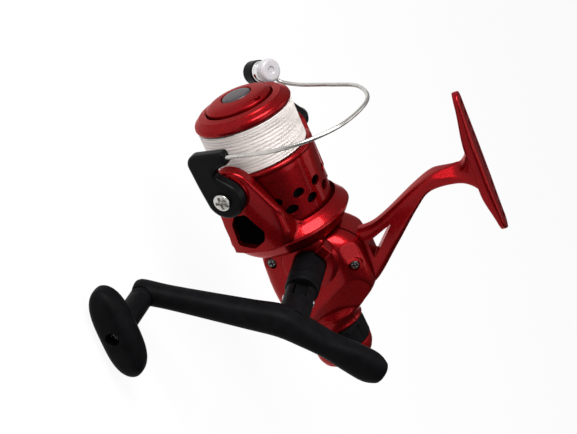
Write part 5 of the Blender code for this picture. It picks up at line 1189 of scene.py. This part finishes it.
def make_knob(sizes):
    """Knob: ovals along its length that swell by (1 - |s|^3.2)^0.5, bored for the post's spindle."""
    s = np.sin(np.linspace(-math.pi / 2, math.pi / 2, 80))
    swell = np.sqrt(np.clip(1 - np.abs(s) ** 3.2, 0.004, None))
    half = sizes.knob_width / MM / 2
    ring = oval(1, 1, 2.6, 96)
    along = unit(X_SIDE - KNOB_AXIS * np.dot(X_SIDE, KNOB_AXIS))
    wide = np.cross(KNOB_AXIS, along)
    middle = KNOB_END + KNOB_AXIS * 29.0
    points = middle + (s * sizes.knob_length / MM / 2)[:, None, None] * along
    points = points + (half * swell[:, None] * ring[None, :, 0])[..., None] * wide
    points = points + (half * (0.2 + 0.8 * swell)[:, None] * ring[None, :, 1])[..., None] * KNOB_AXIS
    knob = build("grip_knob", surface(points, capped=True))
    way = [
        (0, 10), (2.1, 10), (2.1, 30.2), (2.5, 30.2), (2.5, 35.4, 0.3), (3.1, 36.1, 0.2), (3.1, 45), (0, 45),
    ]
    combine(knob, "DIFFERENCE", lathe(way, KNOB_END, KNOB_AXIS, 64))
    finish(knob, "moulding", "knob", "black_plastic", "handle_knob", flat_faces=True)


def make_drag(sizes):
    """Drag knob with shallow grip flutes, and the lacquered ring round its end."""
    r = sizes.drag_radius / MM
    turned = [
        (4.6, -96.8), (8.4, -96.8), (8.4, -103.2), (11.9, -103.2, 0.4), (r, -105.2, 0.8),
        (r + 0.3, -112.7, 0.4), (9.6, -112.7), (9.6, -120.9, 0.6), (7.6, -121.7, 0.8), (2.0, -121.4, 0.6),
        (0, -121.4), (0, -108.9), (4.6, -108.9),
    ]

    def gripped(t, x):
        """Flutes 0.05 of the radius deep, 12 round it, as a cosine's fourth power, fading at both ends."""
        ends = step((-104.2 - x) / 2) * step((x + 112.2) / 1.2)
        return 1 - 0.05 * (0.5 + 0.5 * np.cos(12 * t)) ** 4 * ends

    knob = build("drag_grip", lathe(turned, steps=240, flutes=gripped))
    finish(knob, "moulding", "drag_knob", "black_plastic", "drag_knob")
    band = [(9.9, -113), (r + 0.2, -113, 0.4), (r, -116.7, 1.2), (r - 1.4, -119.7, 0.7), (9.9, -119.7, 0.3)]
    finish(build("drag_ring", lathe(band)), "lacquer", "drag_knob", "red_lacquer", "drag_knob_ring")


def make_switch():
    """Anti-reverse lever: a rounded slab under the case on its short stem."""
    hub = [(*p, 0) for p in arc((0, 0), 4, 45, 315, 36)]
    outline = rounded([*hub, (10, -1.6, 1.0), (10, 1.6, 1.0)], 8)
    shape = slab(outline, -1.0, 1.0, SWITCH_PLACE, -X_SIDE, -Y_SIDE, (0.5, 0.3), 120)
    lever = build("reverse_switch", shape)
    combine(lever, "UNION", rod(1.6, 0.5, 5.3, SWITCH_PLACE, Z_SIDE, 40))
    finish(lever, "moulding", "switch", "black_plastic", "anti_reverse_lever", flat_faces=True)


def dress_inside():
    """Solids that keep their own shape get the finish of what they are made of."""
    for look, nodes in INSIDE.items():
        for name in nodes:
            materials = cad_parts[name].data.materials
            materials.clear()
            materials.append(LOOKS[look])


def shaded(tint, share):
    """A colour darkened to a share of itself."""
    return [share * v for v in tint]


def make_finishes(c):
    """Every finish, from the colours that a user may change."""
    black, worn, steel = c.moulding, c.moulding_worn, c.steel
    dark_steel = shaded(steel, 0.3), shaded(steel, 0.2)
    dark_black = shaded(black, 0.4), shaded(black, 0.5)
    flaked_lacquer("lacquer", c, 0.2)
    grained("moulding", black, worn, 2600, (0.42, 0.56), 0.22, specular_ior_level=0.03)
    grained("gloss_moulding", black, worn, 1400, (0.26, 0.36), 0.05, specular_ior_level=0.06)
    grained("button", c.button, shaded(c.button, 0.8), 2400, (0.34, 0.46), 0.12, specular_ior_level=0.4)
    grained("steel", steel, shaded(steel, 0.82), 900, (0.16, 0.30), 0.06, (1, 6, 6), metallic=1.0)
    grained("dark_steel", *dark_steel, 900, (0.26, 0.4), 0.06, metallic=1.0)
    # Black oxide on the snap spring and painted shade in the near arm's pocket: darker than the moulding, no
    # gloss
    grained("oxide_and_painted_shade", *dark_black, 900, (0.55, 0.7), 0.06, specular_ior_level=0.0)
    grained("roller", c.roller, shaded(c.roller, 0.88), 700, (0.14, 0.26), 0.05, metallic=1.0)
    grained("cap", c.cap, shaded(c.cap, 0.93), 1800, (0.26, 0.38), 0.05)
    grained("line_bed", c.line_shade, c.line, 900, (0.38, 0.5), 0.2)
    grained("brass", c.brass, shaded(c.brass, 0.85), 1000, (0.24, 0.4), 0.08, (8, 1, 1), metallic=1.0)
    grained("alloy", c.alloy, shaded(c.alloy, 0.8), 1400, (0.34, 0.5), 0.15, metallic=1.0)
    grained("felt", c.felt, shaded(c.felt, 0.7), 3800, (0.88, 0.98), 0.8, sheen_weight=0.4)
    wound_nylon("line", c)


def make_camera():
    """Camera of the photograph: it stands at -A^T p, A its axes as rows and p the origin as it sees it."""
    lens = bpy.data.cameras.new("view")
    lens.sensor_width = SENSOR_WIDTH
    lens.lens = SENSOR_WIDTH * FOCAL_PIXELS / IMAGE_WIDTH
    lens.clip_end = 100
    camera = put("view", lens)
    place = Vector((-CAMERA_AXES.T @ CAMERA_PLACE - FOOT_CENTRE) * MM)
    camera.matrix_world = Matrix.LocRotScale(place, Matrix(CAMERA_AXES.T.tolist()), None)
    bpy.context.scene.camera = camera


def make_floor(tint):
    """Floor: one square below the reel, near white to what sees it and matt to the lamps."""
    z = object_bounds()[0][2] - FLOOR_GAP
    corners = [(x * FLOOR_REACH, y * FLOOR_REACH, z) for x, y in ((-1, -1), (1, -1), (1, 1), (-1, 1))]
    mesh = bpy.data.meshes.new("floor")
    mesh.from_pydata(corners, [], [(0, 1, 2, 3)])
    put("floor", mesh)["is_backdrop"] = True
    material = bpy.data.materials.new("floor")
    material.use_nodes = True
    tree = material.node_tree
    tree.nodes.clear()
    rays = node(tree, "ShaderNodeLightPath").outputs
    camera, glossy, through = (rays[k] for k in ("Is Camera Ray", "Is Glossy Ray", "Is Transmission Ray"))
    seen = node(tree, "ShaderNodeMath", {0: camera, 1: glossy}, use_clamp=True).outputs[0]
    seen = node(tree, "ShaderNodeMath", {0: seen, 1: through}, use_clamp=True).outputs[0]
    part = node(tree, "ShaderNodeMath", {0: seen, 1: FLOOR_WHITE}, operation="MULTIPLY").outputs[0]
    matt = node(tree, "ShaderNodeBsdfDiffuse", {"Color": (*tint, 1)}).outputs[0]
    white = node(tree, "ShaderNodeEmission", {"Color": (1, 1, 1, 1), "Strength": 1.0}).outputs[0]
    both = node(tree, "ShaderNodeMixShader", {0: part, 1: matt, 2: white}).outputs[0]
    node(tree, "ShaderNodeOutputMaterial", {"Surface": both})
    mesh.materials.append(material)


def make_light():
    """Light: soft round lamps that face the reel's middle, and a sky that brightens towards its front."""
    middle = (REEL_MIDDLE - FOOT_CENTRE) * MM
    for name, towards, size, power in LAMPS:
        light = bpy.data.lights.new(name, "AREA")
        light.shape = "DISK"
        light.size = size
        light.energy = power
        aim = unit(np.array(towards, float))
        turn = Vector(aim).to_track_quat("Z", "Y")
        lamp = put(name, light)
        lamp.matrix_world = Matrix.LocRotScale(Vector(middle + aim * LAMP_DISTANCE), turn, None)
    world = bpy.data.worlds.new("sky")
    world.use_nodes = True
    bpy.context.scene.world = world
    tree = world.node_tree
    look = node(tree, "ShaderNodeTexCoord").outputs["Generated"]
    lift = node(tree, "ShaderNodeVectorMath", {0: look, 1: SKY_TOWARDS}, operation="DOT_PRODUCT")
    inputs = {"Value": lift.outputs["Value"], "From Min": -0.6, "From Max": 0.9}
    share = node(tree, "ShaderNodeMapRange", inputs, interpolation_type="SMOOTHSTEP")
    tint = blend_colours(tree, share.outputs[0], SKY_LOW, SKY_HIGH)
    tree.links.new(tint, tree.nodes["Background"].inputs["Color"])


def make_stage(colours):
    """Camera, floor and light, and the plain view transform."""
    make_camera()
    make_floor(colours.floor)
    make_light()
    bpy.context.scene.view_settings.view_transform = "Standard"


class REEL_OT_finishes(bpy.types.Operator):
    """Makes every finish from the scene's colours"""

    bl_idname = "reel.finishes"
    bl_label = "Finishes"
    bl_options = {"REGISTER", "UNDO"}

    def execute(self, context):
        make_finishes(context.scene.reel_colours)
        return {"FINISHED"}


class REEL_OT_spool(bpy.types.Operator):
    """Makes the spool, its front and its push button"""

    bl_idname = "reel.spool"
    bl_label = "Spool"
    bl_options = {"REGISTER", "UNDO"}

    def execute(self, context):
        make_spool(context.scene.reel_sizes)
        return {"FINISHED"}


class REEL_OT_line(bpy.types.Operator):
    """Winds the line on the spool"""

    bl_idname = "reel.line"
    bl_label = "Line"
    bl_options = {"REGISTER", "UNDO"}

    def execute(self, context):
        make_line(context.scene.reel_sizes)
        return {"FINISHED"}


class REEL_OT_rotor(bpy.types.Operator):
    """Makes the rotor with its arms, snap spring and pivot screws"""

    bl_idname = "reel.rotor"
    bl_label = "Rotor"
    bl_options = {"REGISTER", "UNDO"}

    def execute(self, context):
        make_rotor(context.scene.reel_sizes)
        return {"FINISHED"}


class REEL_OT_bail(bpy.types.Operator):
    """Makes the bail's two levers and its wire"""

    bl_idname = "reel.bail"
    bl_label = "Bail"
    bl_options = {"REGISTER", "UNDO"}

    def execute(self, context):
        make_bail(context.scene.reel_sizes)
        return {"FINISHED"}


class REEL_OT_roller(bpy.types.Operator):
    """Makes the line roller, its sleeve and its cap"""

    bl_idname = "reel.roller"
    bl_label = "Line Roller"
    bl_options = {"REGISTER", "UNDO"}

    def execute(self, context):
        make_roller(context.scene.reel_sizes)
        return {"FINISHED"}


class REEL_OT_case(bpy.types.Operator):
    """Makes the frame half of the gear case, its boss and post"""

    bl_idname = "reel.case"
    bl_label = "Gear Case"
    bl_options = {"REGISTER", "UNDO"}

    def execute(self, context):
        make_case(context.scene.reel_sizes)
        return {"FINISHED"}


class REEL_OT_leg(bpy.types.Operator):
    """Makes the stem and the foot"""

    bl_idname = "reel.leg"
    bl_label = "Stem and Foot"
    bl_options = {"REGISTER", "UNDO"}

    def execute(self, context):
        make_stem(context.scene.reel_sizes)
        make_foot(context.scene.reel_sizes)
        return {"FINISHED"}


class REEL_OT_cover(bpy.types.Operator):
    """Makes the side cover and its screws"""

    bl_idname = "reel.cover"
    bl_label = "Side Cover"
    bl_options = {"REGISTER", "UNDO"}

    def execute(self, context):
        make_cover(context.scene.reel_sizes)
        return {"FINISHED"}


class REEL_OT_crank(bpy.types.Operator):
    """Makes the handle's collar, hinge pin and far cap"""

    bl_idname = "reel.crank"
    bl_label = "Crank"
    bl_options = {"REGISTER", "UNDO"}

    def execute(self, context):
        make_crank(context.scene.reel_sizes)
        return {"FINISHED"}


class REEL_OT_handle(bpy.types.Operator):
    """Makes the handle's arm, post and end screw"""

    bl_idname = "reel.handle"
    bl_label = "Handle"
    bl_options = {"REGISTER", "UNDO"}

    def execute(self, context):
        make_handle(context.scene.reel_sizes)
        return {"FINISHED"}


class REEL_OT_knob(bpy.types.Operator):
    """Makes the handle's knob"""

    bl_idname = "reel.knob"
    bl_label = "Knob"
    bl_options = {"REGISTER", "UNDO"}

    def execute(self, context):
        make_knob(context.scene.reel_sizes)
        return {"FINISHED"}


class REEL_OT_drag(bpy.types.Operator):
    """Makes the drag knob and its ring"""

    bl_idname = "reel.drag"
    bl_label = "Drag Knob"
    bl_options = {"REGISTER", "UNDO"}

    def execute(self, context):
        make_drag(context.scene.reel_sizes)
        return {"FINISHED"}


class REEL_OT_switch(bpy.types.Operator):
    """Makes the anti-reverse switch"""

    bl_idname = "reel.switch"
    bl_label = "Switch"
    bl_options = {"REGISTER", "UNDO"}

    def execute(self, context):
        make_switch()
        return {"FINISHED"}


class REEL_OT_inside(bpy.types.Operator):
    """Gives the solids that stay their finishes"""

    bl_idname = "reel.inside"
    bl_label = "Inside"
    bl_options = {"REGISTER", "UNDO"}

    def execute(self, context):
        dress_inside()
        return {"FINISHED"}


class REEL_OT_stage(bpy.types.Operator):
    """Makes the camera, floor, lamps and sky"""

    bl_idname = "reel.stage"
    bl_label = "Stage"
    bl_options = {"REGISTER", "UNDO"}

    def execute(self, context):
        make_stage(context.scene.reel_colours)
        return {"FINISHED"}


class REEL_PT_sidebar(bpy.types.Panel):
    """Lists the reel's sizes, colours and makers in the sidebar."""

    bl_idname = "REEL_PT_sidebar"
    bl_label = "Spinning Reel"
    bl_space_type = "VIEW_3D"
    bl_region_type = "UI"
    bl_category = "Reel"

    def draw(self, context):
        layout = self.layout
        for group in (context.scene.reel_sizes, context.scene.reel_colours):
            column = layout.column(align=True)
            for name in group.__annotations__:
                column.prop(group, name)
        column = layout.column(align=True)
        for maker in MAKERS:
            column.operator(maker.bl_idname)


MAKERS = (
    REEL_OT_finishes,
    REEL_OT_spool,
    REEL_OT_line,
    REEL_OT_rotor,
    REEL_OT_bail,
    REEL_OT_roller,
    REEL_OT_case,
    REEL_OT_leg,
    REEL_OT_cover,
    REEL_OT_crank,
    REEL_OT_handle,
    REEL_OT_knob,
    REEL_OT_drag,
    REEL_OT_switch,
    REEL_OT_inside,
    REEL_OT_stage,
)
CLASSES = (ReelSizes, ReelColours, *MAKERS, REEL_PT_sidebar)


def register():
    """Registers every class and hangs the sizes and colours on the scene."""
    for made in CLASSES:
        bpy.utils.register_class(made)
    bpy.types.Scene.reel_sizes = bpy.props.PointerProperty(type=ReelSizes)
    bpy.types.Scene.reel_colours = bpy.props.PointerProperty(type=ReelColours)


def unregister():
    """Takes the sizes, colours and classes away again."""
    del bpy.types.Scene.reel_colours
    del bpy.types.Scene.reel_sizes
    for made in reversed(CLASSES):
        bpy.utils.unregister_class(made)


def main():
    """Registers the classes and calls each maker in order."""
    register()
    for maker in MAKERS:
        group, name = maker.bl_idname.split(".")
        getattr(getattr(bpy.ops, group), name)()


if __name__ == "__main__":
    main()
